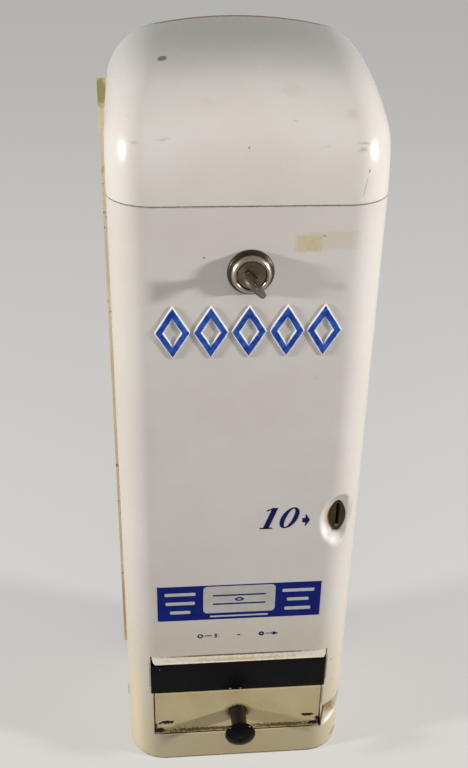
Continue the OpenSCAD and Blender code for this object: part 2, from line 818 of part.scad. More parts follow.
// lug on the drawer's side that the pawl stops
module latch_lug() color("silver") at_front() {
  block(tray_x, tray_x + wall_t, lug_y, lug_plate_y, lug_low, lug_flange_z);
  block(tray_x, pawl_x + pawl_t + 1, lug_y, lug_plate_y, lug_flange_z - wall_t, lug_flange_z);
  block(pawl_x - 0.2, pawl_x + pawl_t + 1, lug_y, lug_y + lug_t, lug_flange_z - wall_t, lug_top);
}

// stem between drawer and knob cap
module knob_stem() color("#5a4a40") at_front() {
  difference() {
    translate([0, drawer_set, knob_z]) rotate([90, 0, 0])
      cylinder(r1 = stem_d / 2, r2 = stem_d / 2 - 0.8, h = drawer_set - stem_end);
    rod_y(knob_screw_d / 2 + run_gap, stem_end - eps, drawer_set + eps, 0, knob_z);
  }
}

// domed cap, turned, with a small dimple
module knob_cap() color("black") at_front() {
  r = cap_d / 2;
  rim = 2.5;
  dome = cap_h - rim;
  ball = (r * r + dome * dome) / (2 * dome);
  difference() {
    translate([0, stem_end, knob_z]) rotate([90, 0, 0]) union() {
      cylinder(r1 = r - 2.5, r2 = r, h = rim);
      intersection() {
        translate([0, 0, cap_h - ball]) sphere(ball);
        translate([0, 0, rim]) cylinder(r = r, h = dome + eps);
      }
    }
    rod_y(knob_screw_d / 2 + run_gap, stem_end - 4.5, stem_end + eps, 0, knob_z);
    translate([0, -knob_out - 1.6, knob_z]) sphere(2.2);
  }
}

// screw from inside the drawer into the cap
module knob_screw() color("silver") at_front() {
  seat = drawer_y + wall_t;
  rod_y(knob_head_r, seat, seat + knob_head_h, 0, knob_z);
  rod_y(knob_screw_d / 2, stem_end - 4, seat + knob_head_h / 2, 0, knob_z);
}

module lock_washer() color("#3a2f26") at_front() {
  difference() {
    rod_y(bezel_d / 2 + 0.5, -washer_t, 0, 0, lock_z);
    rod_y(barrel_d / 2 + 0.1, -washer_t - eps, eps, 0, lock_z);
  }
}

// lock body: domed bezel in front and barrel through the cover
module lock_body() color("silver") at_front() {
  r = bezel_d / 2;
  lip_r = plug_head_r + 0.4;
  bend = 3.5;
  translate([0, 0, lock_z]) difference() {
    rotate([90, 0, 0]) union() {
      translate([0, 0, washer_t]) cylinder(r = r, h = bezel_out - washer_t - bend);
      translate([0, 0, bezel_out - bend]) rotate_extrude() union() {
        square([r - bend, bend]);
        intersection() {
          translate([r - bend, 0]) circle(bend);
          square([r, bend]);
        }
      }
      translate([0, 0, -barrel_l]) cylinder(r = barrel_d / 2, h = barrel_l + washer_t + eps);
    }
    rod_y(plug_r + run_gap, -bezel_out - eps, barrel_l + eps, 0, 0);
    rod_y(lip_r, -bezel_out - eps, -plug_face + plug_head_l + fit_gap, 0, 0);
  }
}

module lock_nut() color("goldenrod") at_front() {
  difference() {
    translate([0, sheet_t, lock_z]) rotate([-90, 0, 0]) cylinder(d = nut_flat / cos(30), h = nut_t, $fn = 6);
    rod_y(barrel_d / 2 + run_gap, sheet_t - eps, sheet_t + nut_t + eps, 0, lock_z);
  }
}

// turning things sit at the key's angle
module at_lock() {
  at_front() translate([0, 0, lock_z]) rotate([0, -key_turn, 0]) children();
}

module lock_plug() color("#6b6258") at_lock() {
  way_t = key_t + 2 * keyway_gap;
  way_h = blade_h + 2 * keyway_gap;
  difference() {
    union() {
      rod_y(plug_head_r, -plug_face, -plug_face + plug_head_l, 0, 0);
      rod_y(plug_r, -plug_face, barrel_l, 0, 0);
      rod_y(tail_r, barrel_l - eps, tail_end, 0, 0);
    }
    block(-way_t / 2, way_t / 2, -plug_face - eps, blade_end + keyway_gap, -way_h / 2, way_h / 2);
    rod_y(cam_screw_r + run_gap, tail_end - cam_screw_l + 2.4, tail_end + eps, 0, 0);
  }
}

// hooked cam: the hook stands over the hood's catch when the key is upright
module lock_cam() color("gray") at_lock() {
  difference() {
    union() {
      rod_y(cam_w / 2 + 2, cam_y, cam_y + cam_t, 0, 0);
      block(-cam_w / 2, cam_w / 2, cam_y, cam_y + cam_t, 0, cam_reach);
      block(-cam_w / 2, hook_x, cam_y, cam_y + cam_t, hook_low, cam_reach);
    }
    rod_y(tail_r + run_gap, cam_y - eps, cam_y + cam_t + eps, 0, 0);
  }
}

module cam_screw() color("silver") at_lock() {
  seat = cam_y + cam_t;
  rod_y(cam_head_r, seat, seat + cam_head_h, 0, 0);
  rod_y(cam_screw_r, tail_end - cam_screw_l + 3, seat + cam_head_h / 2, 0, 0);
}

// flat key with a round bow
module key() color("#8c7a4f") at_lock() {
  bow_y = -key_out + bow_r;
  difference() {
    union() {
      block(-key_t / 2, key_t / 2, bow_y, blade_end, -key_neck / 2, key_neck / 2);
      block(-key_t / 2, key_t / 2, -plug_face - 2, blade_end - 2, -blade_h / 2, blade_h / 2);
      rod_x(bow_r, -key_t / 2, key_t / 2, bow_y, 0);
      block(-key_t / 2, key_t / 2, bow_y, bow_y + bow_l, -bow_r, bow_r);
    }
    rod_x(bow_hole_r, -key_t / 2 - eps, key_t / 2 + eps, bow_y - 2.5, 0);
  }
}

back_plate();
front_cover();
hood();
hood_band();
hood_catch();
base_pan();
drawer_runner_left();
drawer_runner_right();
magazine_left();
magazine_right();
magazine_back();
cover_brackets();
cover_screws();
plate_rivets();
coin_plate();
coin_chute();
pawl_pin();
coin_pawl();
cash_tray();
stack_weight();
flap_brackets();
flap_pin();
delivery_flap();
drawer_front();
drawer_tray();
latch_lug();
knob_stem();
knob_cap();
knob_screw();
lock_washer();
lock_body();
lock_nut();
lock_plug();
lock_cam();
cam_screw();
key();
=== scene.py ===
import math

import bmesh
import bpy
from mathutils import Matrix, Vector


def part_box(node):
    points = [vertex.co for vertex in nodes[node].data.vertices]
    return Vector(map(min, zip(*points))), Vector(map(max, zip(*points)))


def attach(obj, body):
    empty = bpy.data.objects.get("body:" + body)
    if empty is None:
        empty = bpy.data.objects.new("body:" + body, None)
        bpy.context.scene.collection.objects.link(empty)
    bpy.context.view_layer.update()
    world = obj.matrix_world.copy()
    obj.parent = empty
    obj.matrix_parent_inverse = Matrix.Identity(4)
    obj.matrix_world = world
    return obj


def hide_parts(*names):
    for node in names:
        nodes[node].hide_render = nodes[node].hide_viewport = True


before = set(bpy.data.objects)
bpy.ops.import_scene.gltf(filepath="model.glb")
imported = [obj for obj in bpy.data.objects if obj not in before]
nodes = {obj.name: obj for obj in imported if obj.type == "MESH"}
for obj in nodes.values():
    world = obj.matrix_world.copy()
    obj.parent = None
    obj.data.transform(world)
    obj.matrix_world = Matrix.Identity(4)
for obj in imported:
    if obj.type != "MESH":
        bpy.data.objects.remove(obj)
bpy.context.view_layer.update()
scene = bpy.context.scene

# pieces are drawn in millimetres with the cover's face at y = 0, then moved into the frame
milli = 1000.0
caseShape = {"halfWidth": 80.0, "cornerR": 27.0, "depth": 110.0, "plateBack": 111.6, "seamZ": 435.5,
             "sheet": 1.2, "sharp": 50}
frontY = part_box("back_plate")[1].y * milli - caseShape["plateBack"]


# small helpers

# sRGB code to linear colour
def linear(code):
    parts = [int(code[i:i + 2], 16) / 255 for i in (1, 3, 5)]
    return [p / 12.92 if p <= 0.04045 else ((p + 0.055) / 1.055) ** 2.4 for p in parts] + [1.0]


# texture scale whose features are about this many millimetres
def perMm(size):
    return milli / size


def smooth(t):
    t = min(1.0, max(0.0, t))
    return t * t * (3 - 2 * t)


def softMax(a, b, width):
    return (a + b + math.sqrt((a - b) ** 2 + width * width)) / 2


# depth of the case's face at x, which turns back at the corners
def faceY(x):
    c = caseShape
    over = abs(x) - (c["halfWidth"] - c["cornerR"])
    return 0.0 if over <= 0 else c["cornerR"] - math.sqrt(max(0.0, c["cornerR"] ** 2 - over * over))


# heights up to each limit in turn, at about the step that is given with it
def stops(low, spans):
    made = []
    for high, step in spans:
        count = max(1, round((high - low) / step))
        made += [low + (high - low) * (i + 1) / count for i in range(count)]
        low = high
    return made


def toFrame(point):
    return Vector((point[0], point[1] + frontY, point[2])) / milli


# one node with its values and links
def addNode(tree, kind, inputs=None, **settings):
    made = tree.nodes.new(kind)
    for key, value in settings.items():
        setattr(made, key, value)
    for key, value in (inputs or {}).items():
        if isinstance(value, bpy.types.NodeSocket):
            tree.links.new(value, made.inputs[key])
        else:
            made.inputs[key].default_value = linear(value) if isinstance(value, str) else value
    return made


# what a finish has where its own dictionary doesn't say
finishPlain = {"cloudSpan": (0.38, 0.66), "glossSpan": (0.3, 0.7), "speckSoft": 0.05,
               "specks": (), "marks": (), "sockets": {}}
# the row of a mark: centre and half size in mm, turn in degrees, how ragged, soft and strong, and its colour;
# then, where it has them, whether it is a box and the roughness it brings
markKeys = ("at", "size", "turn", "ragged", "soft", "strength", "colour", "box", "dull")


# a soft mark: an ellipse or a box, broken up by a noise so that its edge is ragged
def markMask(tree, coords, noise, mark):
    local = addNode(tree, "ShaderNodeMapping", {
        "Vector": coords, "Location": toFrame(mark["at"]), "Rotation": (0, math.radians(mark["turn"]), 0),
        "Scale": Vector(mark["size"]) / milli}, vector_type="TEXTURE").outputs[0]
    if mark.get("box"):
        flat = addNode(tree, "ShaderNodeVectorMath", {0: local}, operation="ABSOLUTE").outputs[0]
        parts = addNode(tree, "ShaderNodeSeparateXYZ", {0: flat}).outputs
        wide = addNode(tree, "ShaderNodeMath", {0: parts[0], 1: parts[1]}, operation="MAXIMUM").outputs[0]
        reach = addNode(tree, "ShaderNodeMath", {0: wide, 1: parts[2]}, operation="MAXIMUM").outputs[0]
    else:
        reach = addNode(tree, "ShaderNodeVectorMath", {0: local}, operation="LENGTH").outputs[1]
    rough = addNode(tree, "ShaderNodeMath", {0: noise, 1: mark["ragged"], 2: reach},
                    operation="MULTIPLY_ADD").outputs[0]
    edge = 1.0 + mark["ragged"] / 2
    return addNode(tree, "ShaderNodeMapRange", {
        "Value": rough, "From Min": edge, "From Max": edge - mark["soft"],
        "To Min": 0.0, "To Max": mark["strength"]}, interpolation_type="SMOOTHSTEP").outputs[0]


# a finish from its dictionary: clouded colour, specks, marks, uneven gloss and two sizes of relief
def finish(name, ownLook):
    look = {**finishPlain, **ownLook}
    material = bpy.data.materials.new(name)
    material.use_nodes = True
    tree = material.node_tree
    tree.nodes.clear()
    shader = addNode(tree, "ShaderNodeBsdfPrincipled")
    addNode(tree, "ShaderNodeOutputMaterial", {0: shader.outputs[0]})
    coords = addNode(tree, "ShaderNodeTexCoord").outputs["Object"]
    cloud = addNode(tree, "ShaderNodeTexNoise", {
        "Vector": coords, "Scale": perMm(look["cloudMm"]), "Detail": 4.0, "Roughness": 0.6}).outputs[0]
    cloudMask = addNode(tree, "ShaderNodeMapRange", {
        "Value": cloud, "From Min": look["cloudSpan"][0], "From Max": look["cloudSpan"][1]}).outputs[0]
    colour = addNode(tree, "ShaderNodeMix", {0: cloudMask, 6: look["base"], 7: look["second"]},
                     data_type="RGBA").outputs[2]
    ragged = addNode(tree, "ShaderNodeTexNoise", {
        "Vector": coords, "Scale": perMm(look["raggedMm"]), "Detail": 5.0, "Roughness": 0.65}).outputs[0]
    for speck in look["specks"]:
        spots = addNode(tree, "ShaderNodeTexNoise", {
            "Vector": coords, "Scale": perMm(speck["mm"]), "Detail": 2.0, "Roughness": 0.5}).outputs[0]
        mask = addNode(tree, "ShaderNodeMapRange", {
            "Value": spots, "From Min": speck["over"], "From Max": speck["over"] + look["speckSoft"],
            "To Max": speck["strength"]}).outputs[0]
        colour = addNode(tree, "ShaderNodeMix", {0: mask, 6: colour, 7: speck["colour"]},
                         data_type="RGBA").outputs[2]
    roughness = addNode(tree, "ShaderNodeMapRange", {
        "Value": ragged, "From Min": look["glossSpan"][0], "From Max": look["glossSpan"][1],
        "To Min": look["gloss"][0], "To Max": look["gloss"][1]}).outputs[0]
    for row in look["marks"]:
        mark = dict(zip(markKeys, row))
        mask = markMask(tree, coords, ragged, mark)
        colour = addNode(tree, "ShaderNodeMix", {0: mask, 6: colour, 7: mark["colour"]},
                         data_type="RGBA").outputs[2]
        if "dull" in mark:
            roughness = addNode(tree, "ShaderNodeMix", {0: mask, 2: roughness, 3: mark["dull"]},
                                data_type="FLOAT").outputs[0]
    tree.links.new(colour, shader.inputs["Base Color"])
    tree.links.new(roughness, shader.inputs["Roughness"])
    for key, value in look["sockets"].items():
        shader.inputs[key].default_value = value
    wave = addNode(tree, "ShaderNodeTexNoise", {
        "Vector": coords, "Scale": perMm(look["waveMm"]), "Detail": 1.0}).outputs[0]
    relief = addNode(tree, "ShaderNodeBump", {
        "Height": wave, "Strength": 1.0, "Distance": look["waveDeep"] / milli}).outputs[0]
    grain = addNode(tree, "ShaderNodeTexNoise", {
        "Vector": coords, "Scale": perMm(look["grainMm"]), "Detail": 3.0}).outputs[0]
    relief = addNode(tree, "ShaderNodeBump", {
        "Height": grain, "Strength": 1.0, "Distance": look["grainDeep"] / milli, "Normal": relief}).outputs[0]
    tree.links.new(relief, shader.inputs["Normal"])
    return material


# a finished mesh becomes a piece that rides on a body
def makePiece(bm, name, material, body, replaced=(), inMm=True, sharp=38):
    if inMm:
        bmesh.ops.scale(bm, vec=(1 / milli, 1 / milli, 1 / milli), verts=bm.verts)
        bmesh.ops.translate(bm, vec=(0, frontY / milli, 0), verts=bm.verts)
    mesh = bpy.data.meshes.new(name)
    bm.to_mesh(mesh)
    bm.free()
    mesh.materials.append(material)
    mesh.shade_smooth()
    mesh.set_sharp_from_angle(angle=math.radians(sharp))
    piece = bpy.data.objects.new(name, mesh)
    scene.collection.objects.link(piece)
    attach(piece, body)
    if replaced:
        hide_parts(*replaced)
    return piece


# a CAD node's mesh with its sharp edges broken: angles in degrees, widths in mm
softEdge = {
    "merge": 1e-6, "flatAngle": 1.5, "edgeAngle": 35, "segments": 2, "sharp": 20,
    "width": {"lock_plug": 0.25, "key": 0.35, "coin_plate": 0.3, "drawer_front": 0.4, "delivery_flap": 0.25,
              "back_plate": 0.3},
}


def softCopy(node, name, material, body):
    s = softEdge
    bm = bmesh.new()
    bm.from_mesh(nodes[node].data)
    bmesh.ops.remove_doubles(bm, verts=bm.verts, dist=s["merge"])
    bmesh.ops.dissolve_limit(bm, angle_limit=math.radians(s["flatAngle"]), verts=bm.verts, edges=bm.edges)
    edges = [e for e in bm.edges if e.is_manifold and e.calc_face_angle(0) > math.radians(s["edgeAngle"])]
    bmesh.ops.bevel(bm, geom=edges, offset=s["width"][node] / milli, offset_type="OFFSET",
                    segments=s["segments"], profile=0.5, affect="EDGES", material=-1, clamp_overlap=True)
    return makePiece(bm, name, material, body, replaced=(node,), inMm=False, sharp=s["sharp"])


# a profile of (radius, y) turned about an axis along y at height z
def turned(profile, steps, z=0.0, merge=1e-4):
    bm = bmesh.new()
    verts = [bm.verts.new((r, y, 0)) for r, y in profile]
    edges = [bm.edges.new(pair) for pair in zip(verts, verts[1:])]
    bmesh.ops.spin(bm, geom=verts + edges, cent=(0, 0, 0), axis=(0, 1, 0), angle=2 * math.pi,
                   steps=steps, use_merge=True)
    bmesh.ops.remove_doubles(bm, verts=bm.verts, dist=merge)
    bmesh.ops.recalc_face_normals(bm, faces=bm.faces)
    bmesh.ops.translate(bm, vec=(0, 0, z), verts=bm.verts)
    return bm


def makeTurned(shape, part, name, material, body, node):
    bm = turned(shape[part], shape["steps"], shape["z"])
    makePiece(bm, name, material, body, replaced=(node,))


# edges all along the plane at x
def cutAt(bm, x, merge=1e-5):
    bmesh.ops.bisect_plane(bm, geom=bm.verts[:] + bm.edges[:] + bm.faces[:], dist=merge,
                           plane_co=(x, 0, 0), plane_no=(1, 0, 0))


# faces turned outwards, told by the one nearest to a place on the front
def faceFront(bm, place):
    bmesh.ops.recalc_face_normals(bm, faces=bm.faces)
    front = min(bm.faces, key=lambda f: (f.calc_center_median() - Vector(place)).length)
    if front.normal.y > 0:
        bmesh.ops.reverse_faces(bm, faces=bm.faces)


print("stage: helpers ready, cover face at", round(frontY, 3), "mm")


# finishes; a mark in them is a row of centre, half size, turn, ragged, soft, strength, colour, box, dull

# baked enamel on sheet steel: warm white, glossy, slightly wavy from the pressing, dulled by handling
enamelLook = {
    "base": "#d9d3cc", "second": "#d2cbc3", "cloudMm": 90, "raggedMm": 2.2,
    "gloss": (0.18, 0.28), "waveMm": 60, "waveDeep": 0.3, "grainMm": 2.5, "grainDeep": 0.002,
    "specks": [{"mm": 5, "over": 0.765, "strength": 0.45, "colour": "#8b8172"}],
    "sockets": {"IOR": 1.52, "Specular IOR Level": 0.3, "Coat Weight": 0.15, "Coat Roughness": 0.1},
}
scuff = "#9a958b"
coverLook = dict(enamelLook, marks=[
    # the enamel has yellowed towards the foot
    ((0, 0, -30), (220, 200, 230), 0, 0.2, 0.95, 0.8, "#b6a264"),
    # and along its flanks
    ((-86, 58, 190), (22, 70, 300), 0, 0.3, 0.9, 0.5, "#cbb98c", True),
    ((86, 58, 190), (20, 70, 300), 0, 0.3, 0.9, 0.35, "#cbb98c", True),
    # cream on the front corners
    ((-77, 9, 40), (11, 14, 90), 0, 0.2, 0.95, 0.55, "#e6d6a8"),
    ((77, 9, 90), (9, 14, 60), 0, 0.2, 0.95, 0.4, "#e6d6a8"),
    # yellow film left by old tape beside the lock
    ((32, 0, 414.0), (9, 4, 6.0), 0, 0.5, 0.4, 0.48, "#c4b062", True, 0.3),
    ((45, 0, 415.5), (19, 6, 6.8), 0, 0.4, 0.4, 0.3, "#c6b48a", True, 0.3),
    # two specks beside the lock
    ((-26.3, 0, 406.3), (0.9, 1, 0.7), 0, 0.6, 0.35, 0.8, "#77705f"),
    ((40.8, 0, 418.3), (1.2, 1, 0.7), 20, 0.6, 0.35, 0.8, "#a58a70"),
    # brown grime along the crease of the lip, darkened further as painted shade in the crease
    ((0, -0.2, 104.5), (63, 1.8, 0.95), 0, 0.8, 0.6, 0.9, "#4f3c28", True, 0.5),
    # and a painted highlight on its lower edge
    ((0, -3.5, 101.1), (61, 1.0, 0.8), 0, 0.9, 0.6, 0.85, "#f5f0e4", True),
    # brown lines down the sides of the opening
    ((64.0, 1.8, 84), (0.6, 3, 18), 0, 0.9, 0.6, 0.8, "#5a4426", True, 0.5),
    ((-64.0, 1.8, 84), (0.5, 3, 18), 0, 0.9, 0.6, 0.6, "#5a4426", True, 0.5),
    ((62.6, 1.6, 56.5), (0.5, 3, 11), 0, 1.0, 0.6, 0.7, "#5a4426", True, 0.5),
    # and brown streaks along the lip
    ((0, -2.6, 102.0), (60, 2.2, 1.6), 0, 1.8, 0.8, 0.5, "#97804f", True),
    # tan shade in the scoop
    ((69.4, 10, 37.5), (7.2, 10, 6.6), 0, 0.6, 0.7, 0.85, "#8a6a3c", False, 0.4),
    # painted highlight along the scoop's rim
    ((70.6, 7, 28.4), (3.3, 12, 11.0), 56, 0.15, 0.7, 1.0, "#fbf8f0"),
    # painted shadow where the scoop meets the drawer
    ((64.2, 5, 31.5), (1.1, 12, 9.5), 13, 0.5, 0.5, 0.9, "#241a10", True, 0.5),
    # painted shade under the scoop's upper edge
    ((71, 10, 45.0), (10, 12, 1.4), 0, 0.5, 0.9, 0.5, "#8d7f60", True, 0.4),
    # a tan stain beside the coin plate and a brown mark below it
    ((57.0, 5, 219.5), (4.4, 7, 13), 0, 0.4, 0.9, 0.9, "#a9853f"),
    ((62.9, 6, 208.5), (5, 4, 2.2), 0, 0.6, 0.7, 0.7, "#8f6d3c"),
    # painted shade, grey, on the pocket's floor right of the plate
    ((71.5, 7, 222), (3.6, 6, 13), 0, 0.3, 0.9, 0.4, "#8f877a"),
    # painted highlight on the pocket's lower rise
    ((54.4, 2, 210), (4.2, 6, 10.5), -14, 0.2, 0.9, 0.8, "#f5f2e9"),
    ((61.5, 4.5, 201.2), (7.4, 8, 6.2), 0, 0.2, 0.9, 0.95, "#f8f5ee"),
    # small chips by the flap and along the foot
    ((67.5, 4.2, 90.6), (0.7, 1, 0.7), 0, 0.6, 0.35, 0.8, "#6f6656"),
    ((70.1, 6.1, 68.2), (0.6, 1, 0.6), 0, 0.6, 0.35, 0.8, "#6f6656"),
    ((0, 40, 0.4), (90, 80, 1.3), 0, 1.6, 0.5, 0.7, "#6d5a44", True, 0.5),
    ((74.5, 14, 6.5), (5, 7, 3.8), 0, 1.1, 0.35, 0.75, "#94702f", False, 0.5),
    # thin shade on the folded edge at the seam
    ((0, 55, 435.6), (90, 80, 0.7), 0, 0.9, 0.7, 0.55, "#6b6353", True, 0.4),
])
# the hood's enamel is painted a little lighter than the cover's, standing in for the brighter light on the
# hood
hoodLook = dict(enamelLook, base="#ded8d0", second="#d7d0c7", marks=[
    # the top has greyed under dust, and is painted darker still as shade
    ((0, 70, 520), (140, 72, 50), 0, 0.2, 0.95, 0.75, "#b0b1a4"),
    # a chip that has darkened
    ((-46.9, 48.9, 504.1), (3.0, 3.2, 3.0), 0, 0.2, 0.25, 0.9, "#6c6a54", False, 0.5),
    # scuffs and dots
    ((-63.2, 5.2, 469.0), (4.8, 6, 1.5), 0, 1.3, 0.9, 0.5, scuff),
    ((-48.2, 3.4, 470.9), (6.0, 6, 1.3), -6, 1.3, 0.9, 0.45, scuff),
    ((-2.4, 1.5, 467.0), (0.9, 3, 0.9), 0, 0.2, 0.35, 0.75, "#5a564e"),
    ((20.0, 9.4, 485.5), (2.4, 4, 0.9), 0, 1.0, 0.8, 0.35, scuff),
    ((11.5, 5.9, 480.5), (0.7, 3, 0.7), 0, 0.2, 0.35, 0.35, scuff),
    ((39.5, 2.0, 467.2), (2.8, 4, 0.7), 0, 1.0, 0.8, 0.35, scuff),
    ((60.7, 3.9, 468.2), (5.6, 7, 0.9), 4, 1.0, 0.6, 0.5, scuff),
    ((59.8, 2.8, 465.1), (5.4, 7, 1.7), 0, 1.2, 0.8, 0.5, scuff),
    ((61.9, 1.6, 445.8), (0.4, 4, 6.6), 10, 0.6, 0.35, 0.6, scuff),
    ((63.6, 2.5, 453.9), (0.8, 3, 1.4), 12, 0.5, 0.35, 0.7, "#77736a"),
    ((51.4, 4.7, 473.9), (0.7, 3, 0.7), 0, 0.2, 0.35, 0.4, scuff),
    ((-22.4, 3.8, 475.0), (0.7, 3, 0.7), 0, 0.2, 0.35, 0.3, scuff),
    # faint smudges
    ((22, 18, 495), (13, 8, 6), 0, 0.6, 0.9, 0.2, "#a8a486"),
    ((-24, 12, 489), (10, 8, 3), 10, 0.6, 0.9, 0.16, "#a8a486"),
    ((54, 12, 482), (5, 8, 4), 0, 0.6, 0.9, 0.25, "#b5aa86"),
    ((-66.9, 14.1, 480.4), (3, 6, 1.4), 0, 1.0, 0.9, 0.3, scuff),
    # rubbed rear edge where the primer shows
    ((0, 110.5, 500), (62, 5.5, 40), 0, 0.7, 0.35, 0.85, "#8a3f30", True, 0.5),
    # thin shade on the edge at the seam
    ((0, 55, 436.0), (90, 80, 0.6), 0, 0.9, 0.7, 0.5, "#6b6353", True, 0.4),
])
# brushed cream paint over steel, rusting through in dots
platePaintLook = {
    "base": "#e0d3ae", "second": "#d5c497", "cloudMm": 45, "raggedMm": 2.0,
    "gloss": (0.34, 0.5), "waveMm": 40, "waveDeep": 0.3, "grainMm": 1.6, "grainDeep": 0.03,
    "specks": [{"mm": 3.2, "over": 0.66, "strength": 0.8, "colour": "#8a5a32"},
               {"mm": 9, "over": 0.7, "strength": 0.5, "colour": "#a98a5c"}],
    "sockets": {"IOR": 1.5},
    "marks": [
        # olive tint at the top of the plate, painted darker as the hood's shadow on it
        ((-84, 110, 472), (5, 4, 11), 0, 0.6, 0.5, 0.85, "#8b8a45"),
        ((-86, 110, 55), (8, 8, 46), 0, 0.5, 0.7, 0.7, "#c48f74"),
    ],
}
# yellowed enamel of the drawer: stained round the stem, rust along the foot, dark chips in the corners
drawerPaintLook = {
    "base": "#cdbd92", "second": "#c0ae7e", "cloudMm": 40, "raggedMm": 1.7,
    "gloss": (0.24, 0.36), "waveMm": 35, "waveDeep": 0.2, "grainMm": 2.5, "grainDeep": 0.002,
    "specks": [{"mm": 3.0, "over": 0.72, "strength": 0.6, "colour": "#8a6a3e"}],
    "sockets": {"IOR": 1.5, "Specular IOR Level": 0.16},
    "marks": [
        # stain round the stem
        ((0, 1.2, 45.3), (12.0, 8, 9.6), 0, 0.4, 0.5, 1.0, "#7a6404"),
        ((0, 1.2, 45.2), (8.4, 8, 8.4), 0, 0.5, 0.3, 0.95, "#1d1406"),
        # rust along the foot
        ((-20, 1.2, 28.4), (41, 4, 2.6), 0, 2.2, 0.6, 0.95, "#573717", True),
        ((32, 1.2, 28.8), (30, 4, 2.7), 0, 2.0, 0.6, 0.95, "#64401c", True),
        # dark chips in the corners
        ((-52.5, 1.2, 37.4), (5.4, 6, 1.9), 0, 1.5, 0.15, 1.0, "#120c06"),
        ((-58.2, 1.2, 29.4), (4.4, 6, 2.6), 0, 1.6, 0.15, 1.0, "#120b05"),
        ((52.4, 1.2, 38.0), (5.6, 6, 1.7), 0, 1.5, 0.15, 1.0, "#150e07"),
        ((57.4, 1.2, 29.3), (4.8, 6, 2.3), 0, 1.7, 0.15, 1.0, "#140d06"),
        ((60.2, 1.2, 33.6), (2.0, 6, 2.6), 0, 1.5, 0.2, 1.0, "#1c130a"),
        ((-60.4, 1.2, 34.2), (0.9, 6, 4.0), 0, 1.2, 0.3, 0.9, "#2a1c0e"),
        ((-57.6, 1.2, 36.4), (1.9, 6, 1.0), 0, 1.4, 0.2, 0.9, "#1c130a"),
        # brown flecks
        ((-44, 1.2, 31.6), (1.6, 3, 0.5), 0, 1.4, 0.35, 0.7, "#7a5a34"),
        ((-39, 1.2, 31.8), (1.2, 3, 0.5), 0, 1.4, 0.35, 0.7, "#7a5a34"),
    ],
}
# stoved black lacquer on the flap: satin, with chips down to pale primer
flapLacquerLook = {
    "base": "#0c0b0d", "second": "#121011", "cloudMm": 30, "raggedMm": 1.4,
    "gloss": (0.24, 0.34), "waveMm": 40, "waveDeep": 0.3, "grainMm": 2.5, "grainDeep": 0.003,
    "specks": [{"mm": 3.0, "over": 0.79, "strength": 0.3, "colour": "#5b564e"}],
    "sockets": {"IOR": 1.45, "Specular IOR Level": 0.08},
    "marks": [
        ((-6, 1.6, 68.6), (0.9, 2, 0.7), 0, 0.9, 0.35, 0.9, "#b7b1a4"),
        ((1.6, 1.6, 68.5), (0.8, 2, 0.7), 0, 0.9, 0.35, 0.9, "#b7b1a4"),
        ((-57, 1.6, 91), (0.6, 2, 0.5), 0, 0.8, 0.35, 0.8, "#9b958a"),
        ((4.5, 1.6, 71.6), (1.4, 2, 1.2), 0, 1.2, 0.35, 0.6, "#3a2a22"),
    ],
}
# compression moulded black phenolic: deep gloss with fine wear
knobLook = {
    "base": "#070607", "second": "#0b0a0a", "cloudMm": 12, "raggedMm": 1.0,
    "gloss": (0.1, 0.2), "waveMm": 14, "waveDeep": 0.06, "grainMm": 0.7, "grainDeep": 0.003,
    "sockets": {"IOR": 1.5, "Specular IOR Level": 0.08},
}
# moulded brown phenolic stem, rubbed dull and greyed
stemLook = {
    "base": "#1a1410", "second": "#261d17", "cloudMm": 8, "raggedMm": 1.2,
    "gloss": (0.35, 0.55), "waveMm": 10, "waveDeep": 0.1, "grainMm": 0.8, "grainDeep": 0.02,
    "specks": [{"mm": 2.2, "over": 0.66, "strength": 0.4, "colour": "#5d5146"}],
    "sockets": {"IOR": 1.5, "Specular IOR Level": 0.18},
}
# nickel plating of the side screws: bright, worn warm with fine pits
nickelLook = {
    "base": "#dedad2", "second": "#c9c4ba", "cloudMm": 6, "raggedMm": 0.9,
    "gloss": (0.16, 0.34), "waveMm": 8, "waveDeep": 0.05, "grainMm": 0.6, "grainDeep": 0.006,
    "specks": [{"mm": 1.6, "over": 0.68, "strength": 0.6, "colour": "#5c5040"}],
    "sockets": {"Metallic": 1.0},
}
# the same plating round the lock, gone brown on the flange and bright on the dome
bezelLook = dict(nickelLook, base="#3e3526", second="#50493a", gloss=(0.26, 0.4), marks=[
    ((0, -4, 397.5), (11.7, 20, 11.7), 0, 0.06, 0.05, 1.0, "#a49c8e"),
])
# tarnished brass of plug and key: brown grey with brighter rubbed places
brassLook = {
    "base": "#7c7060", "second": "#62574a", "cloudMm": 5, "raggedMm": 0.8,
    "gloss": (0.3, 0.5), "waveMm": 6, "waveDeep": 0.06, "grainMm": 0.6, "grainDeep": 0.012,
    "specks": [{"mm": 1.4, "over": 0.62, "strength": 0.5, "colour": "#3f372c"}],
    "sockets": {"Metallic": 1.0},
}
# dark patinated bronze of the coin plate
bronzeLook = {
    "base": "#4a3d28", "second": "#36301f", "cloudMm": 5, "raggedMm": 0.9,
    "gloss": (0.3, 0.48), "waveMm": 5, "waveDeep": 0.05, "grainMm": 0.7, "grainDeep": 0.012,
    "specks": [{"mm": 1.5, "over": 0.64, "strength": 0.6, "colour": "#7d6a44"}],
    "sockets": {"Metallic": 0.9},
}
# vulcanised fibre seat washer, nearly black
washerLook = {
    "base": "#2c2824", "second": "#38322b", "cloudMm": 5, "raggedMm": 0.8,
    "gloss": (0.5, 0.7), "waveMm": 5, "waveDeep": 0.05, "grainMm": 0.5, "grainDeep": 0.02,
    "sockets": {"IOR": 1.5},
}
# galvanised sheet inside: dull zinc with spangle drawn at 9 mm
zincLook = {
    "base": "#9a9c9b", "second": "#7f8282", "cloudMm": 9, "raggedMm": 2.5,
    "gloss": (0.34, 0.55), "waveMm": 40, "waveDeep": 0.2, "grainMm": 1.5, "grainDeep": 0.01,
    "specks": [{"mm": 4.0, "over": 0.72, "strength": 0.5, "colour": "#75624b"}],
    "sockets": {"Metallic": 0.85},
}
